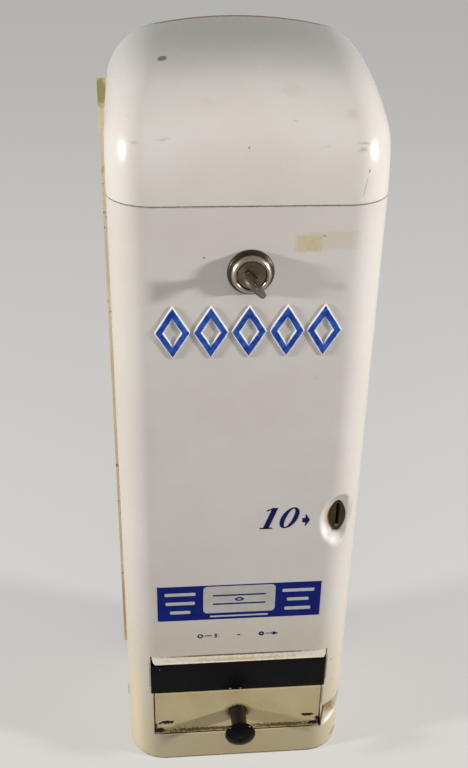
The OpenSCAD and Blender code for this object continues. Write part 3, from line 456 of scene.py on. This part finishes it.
# cast iron weight: dark, grainy
ironLook = {
    "base": "#45423f", "second": "#383532", "cloudMm": 12, "raggedMm": 1.5,
    "gloss": (0.55, 0.75), "waveMm": 10, "waveDeep": 0.2, "grainMm": 0.9, "grainDeep": 0.08,
    "specks": [{"mm": 4.0, "over": 0.68, "strength": 0.5, "colour": "#6d4a34"}],
    "sockets": {"Metallic": 0.6},
}
# silk screened blue ink, flat with small pinholes
inkLook = {
    "base": "#071a68", "second": "#0a2076", "cloudMm": 10, "raggedMm": 0.9,
    "gloss": (0.26, 0.4), "waveMm": 30, "waveDeep": 0.05, "grainMm": 0.7, "grainDeep": 0.006,
    "specks": [{"mm": 1.5, "over": 0.75, "strength": 0.5, "colour": "#8f94b5"}],
    "sockets": {"IOR": 1.45, "Specular IOR Level": 0.12},
}
# white screened ink of the panel and rules
whiteInkLook = {
    "base": "#c2beb6", "second": "#b7b2a8", "cloudMm": 14, "raggedMm": 1.2,
    "gloss": (0.28, 0.42), "waveMm": 30, "waveDeep": 0.05, "grainMm": 0.7, "grainDeep": 0.006,
    "specks": [{"mm": 2.4, "over": 0.72, "strength": 0.4, "colour": "#8c8678"}],
    "sockets": {"IOR": 1.5},
}

enamelCover = finish("bakedEnamelCover", coverLook)
enamelHood = finish("bakedEnamelHood", hoodLook)
platePaint = finish("brushedCreamPaint", platePaintLook)
drawerPaint = finish("yellowedEnamel", drawerPaintLook)
flapLacquer = finish("stovedBlackLacquer", flapLacquerLook)
knobPhenolic = finish("mouldedBlackPhenolic", knobLook)
stemPhenolic = finish("mouldedBrownPhenolic", stemLook)
nickelPlate = finish("wornNickelPlate", nickelLook)
bezelPlate = finish("brownedNickelPlate", bezelLook)
tarnishedBrass = finish("tarnishedBrass", brassLook)
darkBronze = finish("patinatedBronze", bronzeLook)
fibreWasher = finish("vulcanisedFibre", washerLook)
zincSheet = finish("galvanisedSheet", zincLook)
castIron = finish("castIron", ironLook)
blueInk = finish("screenedBlueInk", inkLook)
navyInk = finish("screenedNavyInk", dict(inkLook, base="#0a1150", second="#0e1960"))
whiteInk = finish("screenedWhiteInk", whiteInkLook)
print("stage: finishes made", len(bpy.data.materials))


# front cover: one folded sheet with opening, lip, pressed coin pocket and scoop
coverShape = {
    "lowX": 62.0, "highX": 63.5, "lowZ": 25.0, "stepZ": 67.0, "topZ": 101.0, "frontDeep": 20.0,
    "lipX": 62.4, "lipZ": 104.0, "lipOut": 3.6, "lipEnd": 3.0, "lipDeep": 5.0, "lipKeep": 0.1,
    "lipCurve": 1.2,
    "pocket": (69.0, 219.7), "pocketFloor": 6.0, "pocketR": (10.4, 23.5), "pocketRise": 9.0,
    "pocketTall": 1.28, "pocketReach": 34.0, "pocketX": 40.0, "pocketDeep": 25.0, "pocketSoft": 0.45,
    "coinHole": (62.9, 220.5, 2.6, 9.0), "lockHole": (397.5, 9.4),
    "scoopX": 62.5, "scoopTop": 46.0, "scoopLow": 19.0, "scoopGapX": 63.2, "scoopDeep": 27.0,
    "scoopAt": (71.3, 8.0, 30.6), "scoopRise": (0.5008, 0.4026), "scoopRim": 0.45, "rimSpan": 1.3,
    "slack": 0.01, "cutGap": 0.1, "rowGap": 0.12, "seen": (0, 0, 300),
    "sideCuts": 12, "leftCuts": 30, "faceCuts": 49, "fineSpan": 8.0, "fineCuts": 8, "rightCuts": 48,
}


# the rows of the sheet: up to which height, in steps of about how much
def coverRows():
    s = coverShape
    return stops(0.0, [
        (18.0, 3), (s["lowZ"], 1), (s["scoopTop"], 0.7), (s["scoopTop"] + s["rowGap"], s["rowGap"]),
        (s["stepZ"], 4), (s["topZ"], 4), (s["lipZ"], 0.3), (107.0, 1), (185.0, 8), (254.0, 0.9),
        (388.0, 9), (412.0, 2), (caseShape["seamZ"], 5)])


def runTo(bm, vert, target, count):
    start = vert.co.copy()
    for i in range(count):
        vert = bmesh.ops.extrude_vert_indiv(bm, verts=[vert])["verts"][0]
        vert.co = start.lerp(Vector(target), (i + 1) / count)
    return vert


def turnTo(bm, vert, centre, count):
    made = bmesh.ops.spin(bm, geom=[vert], cent=centre, axis=(0, 0, 1), angle=math.pi / 2, steps=count)
    return [g for g in made["geom_last"] if isinstance(g, bmesh.types.BMVert)][0]


def raiseRows(bm, heights):
    edges = list(bm.edges)
    for z in heights:
        made = bmesh.ops.extrude_edge_only(bm, edges=edges)["geom"]
        fresh = {g for g in made if isinstance(g, bmesh.types.BMVert)}
        for vert in fresh:
            vert.co.z = z
        edges = [g for g in made if isinstance(g, bmesh.types.BMEdge) and fresh.issuperset(g.verts)]


# whether the sheet is cut away here
def coverGone(p):
    s, ax = coverShape, abs(p.x)
    if p.y > s["frontDeep"]:
        return False
    coinX, coinZ, coinHalf, coinTall = s["coinHole"]
    lockZ, lockR = s["lockHole"]
    return ((s["lowZ"] < p.z < s["stepZ"] and ax < s["lowX"])
            or (s["stepZ"] < p.z < s["topZ"] and ax < s["highX"])
            or (s["topZ"] < p.z < s["lipZ"] and s["lipX"] < ax < s["highX"])
            or (s["lowZ"] < p.z < s["scoopTop"] and 0 < p.x < s["scoopGapX"])
            or (abs(p.x - coinX) < coinHalf and abs(p.z - coinZ) < coinTall)
            or math.hypot(p.x, p.z - lockZ) < lockR)


# a point of the flat sheet pressed into the coin pocket, the lip or the scoop
def coverPress(vert):
    s, slack = coverShape, coverShape["slack"]
    x, y, z = vert.co
    if x > s["pocketX"] and y < s["pocketDeep"]:
        away = math.hypot(x - s["pocket"][0], (z - s["pocket"][1]) / s["pocketTall"])
        if away < s["pocketReach"]:
            low, high = s["pocketR"]
            floor = s["pocketFloor"] - s["pocketRise"] * smooth((away - low) / (high - low))
            y = softMax(y, floor, s["pocketSoft"])
    if s["topZ"] - slack <= z <= s["lipZ"] and abs(x) < s["lipX"] + slack and y < s["lipDeep"]:
        over = max(0.0, abs(x) - (s["lipX"] - s["lipEnd"])) / s["lipEnd"]
        keep = max(s["lipKeep"], math.sqrt(max(0.0, 1 - over * over)))
        share = (s["lipZ"] - z) / (s["lipZ"] - s["topZ"]) * keep
        z = s["lipZ"] - (s["lipZ"] - s["topZ"]) * share
        y = y * (1 - share) - s["lipOut"] * share ** s["lipCurve"]
    if x > s["scoopX"] - slack and s["scoopLow"] <= z <= s["scoopTop"] + slack and y < s["scoopDeep"]:
        at, rise = s["scoopAt"], s["scoopRise"]
        ramp = at[1] + rise[0] * (x - at[0]) + rise[1] * (z - at[2])
        near = max(0.0, 1 - ((ramp - y) / s["rimSpan"]) ** 2)
        y = max(y, ramp) - s["scoopRim"] * near * near
    vert.co = (x, y, z)


def makeCover():
    c, s = caseShape, coverShape
    side, corner, back = c["halfWidth"], c["cornerR"], c["depth"]
    flat = side - corner
    bm = bmesh.new()
    vert = bm.verts.new((-side, back, 0))
    vert = runTo(bm, vert, (-side, corner, 0), s["sideCuts"])
    vert = turnTo(bm, vert, (-flat, corner, 0), s["leftCuts"])
    vert = runTo(bm, vert, (flat - s["fineSpan"], 0, 0), s["faceCuts"])
    vert = runTo(bm, vert, (flat, 0, 0), s["fineCuts"])
    vert = turnTo(bm, vert, (flat, corner, 0), s["rightCuts"])
    runTo(bm, vert, (side, back, 0), s["sideCuts"])
    raiseRows(bm, coverRows())
    for x in (s["lipX"], s["lowX"], s["scoopX"], s["scoopX"] - s["cutGap"], s["scoopGapX"], s["highX"]):
        for sign in (-1, 1):
            cutAt(bm, sign * x)
    doomed = [f for f in bm.faces if coverGone(f.calc_center_median())]
    bmesh.ops.delete(bm, geom=doomed, context="FACES")
    for vert in bm.verts:
        coverPress(vert)
    faceFront(bm, s["seen"])
    bmesh.ops.solidify(bm, geom=bm.faces[:], thickness=c["sheet"])
    return makePiece(bm, "coverShell", enamelCover, "cabinet", replaced=("front_cover",),
                     sharp=c["sharp"])


cover = makeCover()
print("stage: cover", len(cover.data.polygons), "faces")


# hood: sections square to the side profile, crowned and rounder towards the wall
hoodShape = {
    "lowZ": 436.1, "browZ": 460.5, "browR": 40.0, "browAngle": 67.0, "rearY": 109.7, "rounder": 9.0,
    "crownAngle": 11.0, "crownShare": 0.45, "leastTilt": 1e-3,
    "blend": 28.0, "blendSteps": 12, "fineSteps": 8, "columns": 72, "rows": 72, "gridEnd": 0.999,
    "seen": (0, 5, 470),
}


# angle, y and z along the side profile; the angle is averaged over a span so that the curve flows
def hoodProfile():
    h, fine, spread = hoodShape, hoodShape["fineSteps"], hoodShape["blendSteps"]
    turn = math.radians(h["browAngle"])
    topR = (h["rearY"] - h["browR"] * (1 - math.cos(turn))) / math.cos(turn)
    skirt = h["browZ"] - h["lowZ"]
    brow, top = h["browR"] * turn, topR * (math.pi / 2 - turn)

    def plainAngle(s):
        if s < skirt:
            return 0.0
        if s < skirt + brow:
            return (s - skirt) / h["browR"]
        return min(math.pi / 2, turn + (s - skirt - brow) / topR)

    step = (skirt + brow + top) / (h["rows"] * fine)
    angle, y, z, rows = 0.0, 0.0, h["lowZ"], []
    for i in range(h["rows"] * fine + 1):
        around = [plainAngle(i * step + h["blend"] * k / spread) for k in range(-spread, spread + 1)]
        fresh = sum(around) / len(around)
        if i:
            y += math.sin((angle + fresh) / 2) * step
            z += math.cos((angle + fresh) / 2) * step
        angle = fresh
        if i % fine == 0:
            rows.append((angle, y, z))
    stretch = h["rearY"] / y
    return [(a, y * stretch, z) for a, y, z in rows]


# a point of one section: the crown in the middle, then the rounded corner
def hoodPoint(across, row):
    h, c = hoodShape, caseShape
    a, y, z = row
    grow = h["rounder"] * math.sin(a) ** 3
    flat, r = c["halfWidth"] - c["cornerR"] - grow, c["cornerR"] + grow
    tilt = math.radians(h["crownAngle"]) * math.sin(a)
    edge = flat + r * math.sin(tilt)
    share, sign, middle = abs(across), math.copysign(1, across), h["crownShare"]
    crownR = edge / math.sin(tilt) if tilt > h["leastTilt"] else 0.0
    if share < middle:
        u = tilt * share / middle
        x = crownR * math.sin(u) if crownR else edge * share / middle
        deep = crownR * (1 - math.cos(u))
    else:
        q = tilt + (math.pi / 2 - tilt) * (share - middle) / (1 - middle)
        x = flat + r * math.sin(q)
        deep = crownR * (1 - math.cos(tilt)) + r * (math.cos(tilt) - math.cos(q))
    return Vector((sign * x, y + deep * math.cos(a), z - deep * math.sin(a)))


# a second skin inside the first, joined to it along the open edge
def addInside(bm, thick):
    bm.normal_update()
    made = bmesh.ops.duplicate(bm, geom=bm.verts[:] + bm.edges[:] + bm.faces[:])["geom"]
    bm.normal_update()
    for vert in [g for g in made if isinstance(g, bmesh.types.BMVert)]:
        vert.co -= vert.normal * thick
    bmesh.ops.reverse_faces(bm, faces=[g for g in made if isinstance(g, bmesh.types.BMFace)])
    bmesh.ops.bridge_loops(bm, edges=[e for e in bm.edges if e.is_boundary])


def makeHood():
    h, c = hoodShape, caseShape
    bm = bmesh.new()
    bmesh.ops.create_grid(bm, x_segments=h["columns"], y_segments=h["rows"], size=1)
    ends = {-1: [], 1: []}
    profile = hoodProfile()
    for vert in bm.verts:
        if abs(vert.co.x) > h["gridEnd"]:
            ends[int(math.copysign(1, vert.co.x))].append(vert)
        vert.co = hoodPoint(vert.co.x, profile[round((vert.co.y + 1) / 2 * h["rows"])])
    for sign, row in ends.items():
        corner = bm.verts.new((sign * c["halfWidth"], h["rearY"], h["lowZ"]))
        bmesh.ops.contextual_create(bm, geom=row + [corner])
    faceFront(bm, h["seen"])
    addInside(bm, c["sheet"])
    return makePiece(bm, "hoodShell", enamelHood, "hood", replaced=("hood",),
                     sharp=c["sharp"])


hood = makeHood()
print("stage: hood", len(hood.data.polygons), "faces")


# lock: bezel with its barrel, fibre washer, plug and key
lockShape = {
    "z": 397.5, "steps": 96,
    "bezel": [(6.6, 16.0), (9.5, 16.0), (9.5, 13.0), (9.1, 12.6), (9.5, 12.2), (9.5, 9.6), (9.1, 9.2),
              (9.5, 8.8), (9.5, 0.0), (9.5, -0.8), (12.6, -0.8), (13.0, -1.1), (13.0, -1.8), (12.7, -2.15),
              (12.1, -2.3), (11.85, -2.5), (11.75, -3.3), (11.5, -4.4), (11.0, -5.4), (10.4, -6.15),
              (9.8, -6.48), (9.2, -6.42), (8.8, -6.1), (8.55, -5.6), (8.42, -4.6), (8.42, -2.1), (6.6, -2.0),
              (6.6, 16.0)],
    "washer": [(9.6, 0.0), (13.2, 0.0), (13.5, -0.2), (13.5, -0.6), (13.2, -0.8), (9.6, -0.8), (9.6, 0.0)],
}
makeTurned(lockShape, "bezel", "lockBezel", bezelPlate, "cabinet", "lock_body")
makeTurned(lockShape, "washer", "lockSeat", fibreWasher, "cabinet", "lock_washer")
softCopy("lock_plug", "lockPlug", tarnishedBrass, "lock_plug")
softCopy("key", "cabinetKey", tarnishedBrass, "key")
softCopy("coin_plate", "coinPlate", darkBronze, "cabinet")


# knob: moulded cap with a dimple on a tapered stem
knobShape = {
    "z": 45.0, "steps": 96,
    "cap": [(0.0, -23.55), (0.9, -23.6), (1.7, -23.75), (2.6, -23.95), (4.0, -23.9), (6.0, -23.5),
            (8.0, -22.75), (9.6, -21.8), (10.6, -20.9), (10.98, -20.2), (11.0, -19.6), (10.8, -18.9),
            (10.2, -18.2), (9.3, -17.7), (8.4, -17.5), (5.2, -17.5), (0.0, -17.5)],
    "stem": [(0.0, -17.5), (5.2, -17.5), (5.25, -16.8), (5.5, -10.0), (5.8, -2.0), (6.0, 0.2), (6.0, 1.2),
             (0.0, 1.2)],
}
makeTurned(knobShape, "cap", "knobCap", knobPhenolic, "drawer", "knob_cap")
makeTurned(knobShape, "stem", "knobStem", stemPhenolic, "drawer", "knob_stem")
softCopy("drawer_front", "drawerFront", drawerPaint, "drawer")
softCopy("delivery_flap", "flapPlate", flapLacquer, "flap")
softCopy("back_plate", "backPlate", platePaint, "cabinet")
print("stage: lock, knob and plates")


# printing and embossing on the cover
printShape = {
    "proud": 0.12, "sunk": 0.05, "cornerSteps": 6, "ringSteps": 48,
    "label": (-57.3, 55.0, 138.4, 169.0), "labelCuts": 60, "panel": (-26.0, 23.4, 144.4, 168.0, 3.0),
    "ruleX": (-41.8, 39.2), "ruleZ": (162.0, 154.0, 146.0), "ruleW": ((21, 20, 14), (22, 15, 18)),
    "ruleH": 2.6, "ruleRound": 0.3, "footRule": (-1.3, 141.3, 40, 1.3),
    "panelX": -1.3, "panelRules": (160.0, 152.4), "panelRule": (36, 1.2),
    "panelRing": (156.2, (3.0, 1.6), (1.6, 0.7)),
    "numeralZ": (215.4, 232.2), "numeralSlant": 0.36, "nilX": 30.2, "nilHalf": (5.6, 2.4), "nilPen": 1.0,
    "oneX": 17.6, "oneWidth": 3.7, "oneFoot": (14.9, 0.5, 8.2, 1.0), "oneFlag": (17.3, 1.3, 4.4, 1.0),
    "flagRise": 0.45,
    "arrow": (41.3, 221.5), "arrowShaft": (-1.4, 2.2, 3.6), "arrowHead": (0.9, 2.8, 10.0, 0.06),
    "signZ": 123.2, "coinSign": (-28, 1.9, 1.1), "slotSign": ((-22.4, 5.0, 0.7), (-17.0, 0.9, 3.8)),
    "stopSign": (-1.0, 1.2, 1.0), "knobSign": (15.0, 1.9, 0.7), "pullSign": (20.6, 5.0, 0.7),
    "pullHead": (24.6, 3.2, 3.2, 0.08),
    "lozengeX": (-44.5, -22.2, 0.0, 22.2, 44.0), "lozengeZ": 360.4, "lozengeHalf": (10.6, 17.0),
    "raised": 1.3, "rooted": 0.1, "crest": 1.7, "flank": 1.5, "flankSteps": 5, "sharp": 60,
    "wipeMm": 3.0, "wipeUneven": 0.5, "wipeEdge": (0.62, 0.4),
}


# a flat outline drawn in x and z becomes a thin print that follows the cover's face, on its own layer
def printOn(bm, name, material, layer=1):
    proud = layer * printShape["proud"]
    for vert in bm.verts:
        x, z = vert.co.x, vert.co.y
        vert.co = (x, faceY(x) - proud, z)
    bmesh.ops.recalc_face_normals(bm, faces=bm.faces)
    if sum(f.normal.y * f.calc_area() for f in bm.faces) > 0:
        bmesh.ops.reverse_faces(bm, faces=bm.faces)
    bmesh.ops.solidify(bm, geom=bm.faces[:], thickness=proud + printShape["sunk"])
    makePiece(bm, name, material, "cabinet")


def addBar(bm, x, z, width, height, cuts=1):
    made = bmesh.ops.create_grid(bm, x_segments=cuts, y_segments=1, size=0.5)["verts"]
    bmesh.ops.scale(bm, vec=(width, height, 1), verts=made)
    bmesh.ops.translate(bm, vec=(x, z, 0), verts=made)
    return made


# a bar between two corners
def addField(bm, x0, x1, z0, z1, cuts=1):
    return addBar(bm, (x0 + x1) / 2, (z0 + z1) / 2, x1 - x0, z1 - z0, cuts)


# a bar drawn together to a tip on its right
def addHead(bm, x, z, width, height, tip):
    for vert in addBar(bm, x, z, width, height):
        if vert.co.x > x:
            vert.co.y = z + (vert.co.y - z) * tip


def roundCorners(bm, verts, radius):
    corners = [v for v in verts if len(v.link_edges) == 2]
    bmesh.ops.bevel(bm, geom=corners, offset=radius, offset_type="OFFSET", segments=printShape["cornerSteps"],
                    profile=0.5, affect="VERTICES", material=-1)


def addRing(bm, x, z, outer, inner, slant=0.0):
    rings = []
    for half in (outer, inner):
        ring = bmesh.ops.create_circle(bm, segments=printShape["ringSteps"], radius=1)["verts"]
        bmesh.ops.scale(bm, vec=(half[0], half[1], 1), verts=ring)
        for vert in ring:
            vert.co.x += slant * vert.co.y
        bmesh.ops.translate(bm, vec=(x, z, 0), verts=ring)
        rings += list({e for v in ring for e in v.link_edges})
    bmesh.ops.bridge_loops(bm, edges=rings)


def makeLabel():
    p = printShape
    bm = bmesh.new()
    addField(bm, *p["label"], cuts=p["labelCuts"])
    printOn(bm, "labelField", blueInk)
    bm = bmesh.new()
    roundCorners(bm, addField(bm, *p["panel"][:4]), p["panel"][4])
    printOn(bm, "labelPanel", whiteInk, layer=2)
    bm = bmesh.new()
    for x, widths in zip(p["ruleX"], p["ruleW"]):
        for z, width in zip(p["ruleZ"], widths):
            roundCorners(bm, addBar(bm, x, z, width, p["ruleH"]), p["ruleH"] * p["ruleRound"])
    addBar(bm, *p["footRule"])
    printOn(bm, "labelRules", whiteInk, layer=2)
    bm = bmesh.new()
    for z in p["panelRules"]:
        addBar(bm, p["panelX"], z, *p["panelRule"])
    addRing(bm, p["panelX"], *p["panelRing"])
    printOn(bm, "panelRules", blueInk, layer=3)


# sloped numerals, heavier on the sides as drawn with a broad pen, and an arrow to the slot
def makeNumerals():
    p = printShape
    low, high = p["numeralZ"]
    mid, half, slant = (low + high) / 2, (high - low) / 2, p["numeralSlant"]
    bm = bmesh.new()
    addRing(bm, p["nilX"], mid, (p["nilHalf"][0], half), (p["nilHalf"][1], half - p["nilPen"]), slant)
    for vert in addBar(bm, p["oneX"], mid, p["oneWidth"], 2 * half):
        vert.co.x += slant * (vert.co.y - mid)
    x, up, width, height = p["oneFoot"]
    addBar(bm, x, low + up, width, height)
    x, down, width, height = p["oneFlag"]
    for vert in addBar(bm, x, high - down, width, height):
        vert.co.y += p["flagRise"] * (vert.co.x - x)
    printOn(bm, "priceNumerals", navyInk)
    x, z = p["arrow"]
    bm = bmesh.new()
    addBar(bm, x + p["arrowShaft"][0], z, *p["arrowShaft"][1:])
    addHead(bm, x + p["arrowHead"][0], z, *p["arrowHead"][1:])
    printOn(bm, "slotArrow", navyInk)


# small signs in a row: coin, slot, pull
def makeSigns():
    p, z = printShape, printShape["signZ"]
    bm = bmesh.new()

    def addDisc(x, outer, inner):
        addRing(bm, x, z, (outer, outer), (inner, inner))

    addDisc(*p["coinSign"])
    for x, width, height in p["slotSign"] + (p["stopSign"],):
        addBar(bm, x, z, width, height)
    addDisc(*p["knobSign"])
    x, width, height = p["pullSign"]
    addBar(bm, x, z, width, height)
    x, width, height, tip = p["pullHead"]
    addHead(bm, x, z, width, height, tip)
    printOn(bm, "signRow", navyInk)


# raised lozenges with blue tops, pressed out of the sheet: each line of them rises, runs level and falls
def makeLozenges():
    p = printShape
    high, count = p["raised"] + p["rooted"], p["flankSteps"]
    turns = [math.pi / 2 * i / count for i in range(count + 1)]
    climb = [(p["flank"] * (math.cos(a) - math.cos(b)), high * (math.sin(b) - math.sin(a)))
             for a, b in zip(turns, turns[1:])]
    section = climb + [(p["crest"], 0.0)] + [(inward, -rise) for inward, rise in reversed(climb)]
    bm = bmesh.new()
    for x in p["lozengeX"]:
        ring = bmesh.ops.create_circle(bm, segments=4, radius=1, cap_ends=True)["verts"]
        bmesh.ops.scale(bm, vec=(p["lozengeHalf"][0], p["lozengeHalf"][1], 1), verts=ring)
        bmesh.ops.translate(bm, vec=(x, p["lozengeZ"], 0), verts=ring)
        middle = [f for f in bm.faces if len(f.verts) == 4 and all(v in ring for v in f.verts)]
        for inward, rise in section:
            bmesh.ops.inset_region(bm, faces=middle, thickness=inward, depth=rise, use_even_offset=True,
                                   use_boundary=True)
        bmesh.ops.delete(bm, geom=middle, context="FACES_ONLY")
        bmesh.ops.bridge_loops(bm, edges=[e for e in bm.edges if e.is_boundary])
    for vert in bm.verts:
        vert.co = (vert.co.x, faceY(vert.co.x) + p["rooted"] - vert.co.z, vert.co.y)
    bmesh.ops.recalc_face_normals(bm, faces=bm.faces)
    makePiece(bm, "raisedLozenges", lozengeEnamel, "cabinet", sharp=p["sharp"])


# blue enamel wiped over the raised tops, white enamel left on the flanks
def lozengeFinish():
    p = printShape
    material = finish("wipedBlueEnamel", dict(inkLook, base="#103a9c", second="#3263c2", cloudMm=6,
                                              gloss=(0.16, 0.3)))
    tree = material.node_tree
    shader = [n for n in tree.nodes if n.type == "BSDF_PRINCIPLED"][0]
    coords = addNode(tree, "ShaderNodeTexCoord").outputs["Object"]
    depth = addNode(tree, "ShaderNodeSeparateXYZ", {0: coords}).outputs[1]
    uneven = addNode(tree, "ShaderNodeTexNoise", {
        "Vector": coords, "Scale": perMm(p["wipeMm"]), "Detail": 4.0}).outputs[0]
    line = addNode(tree, "ShaderNodeMath", {0: uneven, 1: p["wipeUneven"] / milli, 2: depth},
                   operation="MULTIPLY_ADD").outputs[0]
    low, high = [(frontY - p["raised"] + edge) / milli for edge in p["wipeEdge"]]
    mask = addNode(tree, "ShaderNodeMapRange", {"Value": line, "From Min": low, "From Max": high}).outputs[0]
    blue = shader.inputs["Base Color"].links[0].from_socket
    both = addNode(tree, "ShaderNodeMix", {0: mask, 6: "#dedad4", 7: blue}, data_type="RGBA").outputs[2]
    tree.links.new(both, shader.inputs["Base Color"])
    return material


lozengeEnamel = lozengeFinish()
makeLabel()
makeNumerals()
makeSigns()
makeLozenges()
print("stage: printing and embossing")


# screws in the sides: pan heads with a slot
screwShape = {"x": 80.0, "y": 32.0, "z": 42.0, "slot": 1.1, "deep": 0.7, "turn": 0.6, "facing": 0.3,
              "steps": 40,
              "head": [(0.0, 1.25), (1.6, 1.2), (3.0, 1.0), (4.0, 0.6), (4.5, 0.1), (4.5, -0.3), (0.0, -0.3)]}


def makeScrews():
    s, half = screwShape, screwShape["slot"] / 2
    whole = bmesh.new()
    for sign in (-1, 1):
        bm = turned([(r, -h) for r, h in s["head"]], s["steps"])
        for edge in (-half, half):
            cutAt(bm, edge)
        strip = [f for f in bm.faces if abs(f.calc_center_median().x) < half and f.normal.y < -s["facing"]]
        made = bmesh.ops.extrude_face_region(bm, geom=strip)["geom"]
        bmesh.ops.delete(bm, geom=strip, context="FACES")
        sunk = [g for g in made if isinstance(g, bmesh.types.BMVert)]
        bmesh.ops.translate(bm, vec=(0, s["deep"], 0), verts=sunk)
        for angle, axis in ((s["turn"], "Y"), (sign * math.pi / 2, "Z")):
            bmesh.ops.rotate(bm, cent=(0, 0, 0), matrix=Matrix.Rotation(angle, 3, axis), verts=bm.verts)
        bmesh.ops.translate(bm, vec=(sign * s["x"], s["y"], s["z"]), verts=bm.verts)
        part = bpy.data.meshes.new("screwHead")
        bm.to_mesh(part)
        bm.free()
        whole.from_mesh(part)
        bpy.data.meshes.remove(part)
    bmesh.ops.recalc_face_normals(whole, faces=whole.faces)
    makePiece(whole, "sideScrews", nickelPlate, "cabinet", replaced=("cover_screws",))


makeScrews()

# what stays as the CAD made it gets its real finish
plainFinish = {
    zincSheet: ["hood_band", "hood_catch", "base_pan", "drawer_runner_left", "drawer_runner_right",
                "magazine_left", "magazine_right", "magazine_back", "cover_brackets", "coin_chute",
                "pawl_pin", "cash_tray", "flap_brackets", "flap_pin", "drawer_tray", "latch_lug",
                "knob_screw", "plate_rivets", "lock_nut", "lock_cam", "cam_screw"],
    darkBronze: ["coin_pawl"],
    castIron: ["stack_weight"],
}
for material, names in plainFinish.items():
    for name in names:
        for holder in nodes[name].material_slots:
            holder.material = material
print("stage: inner pieces finished")


# floor, light and camera: lamps in metres, the aim and the camera in mm from the cover's face
stageLook = {"floor": "#dedcd8", "seen": "#dad8d4", "share": 0.6, "bounce": "#848280", "world": "#eeeeee",
             "worldStrength": 0.045, "worldSeen": 0.5, "size": 14.0}
lampAim = (0, 30, 280)
lampSet = [
    {"name": "leftBox", "at": (-2.2, -0.42, 0.82), "power": 52.5, "size": (0.22, 0.13), "mirrored": True},
    {"name": "rightBox", "at": (2.13, -0.66, 0.82), "power": 55.5, "size": (0.22, 0.13), "mirrored": True},
    {"name": "overBox", "at": (0.0, -0.56, 0.84), "power": 1.35, "size": (0.5, 0.5), "mirrored": False},
]
cameraShape = {"at": (-56.105, -500.509, 610.435), "yaw": 0.0956, "pitch": 0.5158, "roll": 0.0214,
               "focal": 967.022, "imageHeight": 768, "sensor": 36.0, "clip": (0.02, 50)}


# 1 where the camera looks, or a mirror or glass shows the place, and 0 for light on its way to the object
def lookedAt(tree):
    path = addNode(tree, "ShaderNodeLightPath").outputs
    looked = addNode(tree, "ShaderNodeMath", {0: path["Is Camera Ray"], 1: path["Is Glossy Ray"]},
                     operation="ADD").outputs[0]
    return addNode(tree, "ShaderNodeMath", {0: looked, 1: path["Is Transmission Ray"]}, operation="ADD",
                   use_clamp=True).outputs[0]


def makeStage():
    look = stageLook
    bm = bmesh.new()
    bmesh.ops.create_grid(bm, x_segments=1, y_segments=1, size=look["size"] / 2)
    mesh = bpy.data.meshes.new("paleFloor")
    bm.to_mesh(mesh)
    bm.free()
    floor = bpy.data.objects.new("paleFloor", mesh)
    scene.collection.objects.link(floor)
    # matt paper: keeps the shadow, looks evenly pale, and throws little light back on the object
    material = bpy.data.materials.new("mattPaper")
    material.use_nodes = True
    tree = material.node_tree
    tree.nodes.clear()
    seen = lookedAt(tree)
    tone = addNode(tree, "ShaderNodeMix", {0: seen, 6: look["bounce"], 7: look["floor"]},
                   data_type="RGBA").outputs[2]
    lit = addNode(tree, "ShaderNodeBsdfPrincipled", {"Base Color": tone, "Roughness": 0.9}).outputs[0]
    even = addNode(tree, "ShaderNodeEmission", {"Color": look["seen"]}).outputs[0]
    share = addNode(tree, "ShaderNodeMath", {0: seen, 1: look["share"]}, operation="MULTIPLY").outputs[0]
    both = addNode(tree, "ShaderNodeMixShader", {0: share, 1: lit, 2: even})
    addNode(tree, "ShaderNodeOutputMaterial", {0: both.outputs[0]})
    mesh.materials.append(material)
    world = bpy.data.worlds.new("studio")
    world.use_nodes = True
    tree = world.node_tree
    tree.nodes.clear()
    strength = addNode(tree, "ShaderNodeMapRange", {
        "Value": lookedAt(tree), "To Min": look["worldStrength"], "To Max": look["worldSeen"]})
    back = addNode(tree, "ShaderNodeBackground", {0: look["world"], 1: strength.outputs[0]})
    addNode(tree, "ShaderNodeOutputWorld", {0: back.outputs[0]})
    scene.world = world


def makeLamps():
    aim = toFrame(lampAim)
    for lamp in lampSet:
        light = bpy.data.lights.new(lamp["name"], "AREA")
        light.energy = lamp["power"]
        light.shape = "RECTANGLE"
        light.size, light.size_y = lamp["size"]
        holder = bpy.data.objects.new(lamp["name"], light)
        holder.visible_glossy = lamp["mirrored"]
        holder.location = lamp["at"]
        holder.rotation_euler = (aim - holder.location).to_track_quat("-Z", "Y").to_euler()
        scene.collection.objects.link(holder)


def makeCamera():
    c = cameraShape
    yaw, pitch, roll = c["yaw"], c["pitch"], c["roll"]
    ahead = Vector((math.sin(yaw) * math.cos(pitch), math.cos(yaw) * math.cos(pitch), -math.sin(pitch)))
    right = Vector((math.cos(yaw), -math.sin(yaw), 0))
    up = right.cross(ahead)
    rightR = math.cos(roll) * right + math.sin(roll) * up
    upR = -math.sin(roll) * right + math.cos(roll) * up
    camera = bpy.data.cameras.new("photoView")
    camera.sensor_width = c["sensor"]
    camera.sensor_fit = "AUTO"
    camera.lens = c["focal"] / c["imageHeight"] * c["sensor"]
    camera.clip_start, camera.clip_end = c["clip"]
    holder = bpy.data.objects.new("photoView", camera)
    place = Matrix((rightR, upR, -ahead)).transposed().to_4x4()
    place.translation = toFrame(c["at"])
    holder.matrix_world = place
    scene.collection.objects.link(holder)
    scene.camera = holder


makeStage()
makeLamps()
makeCamera()
scene.view_settings.view_transform = "Standard"
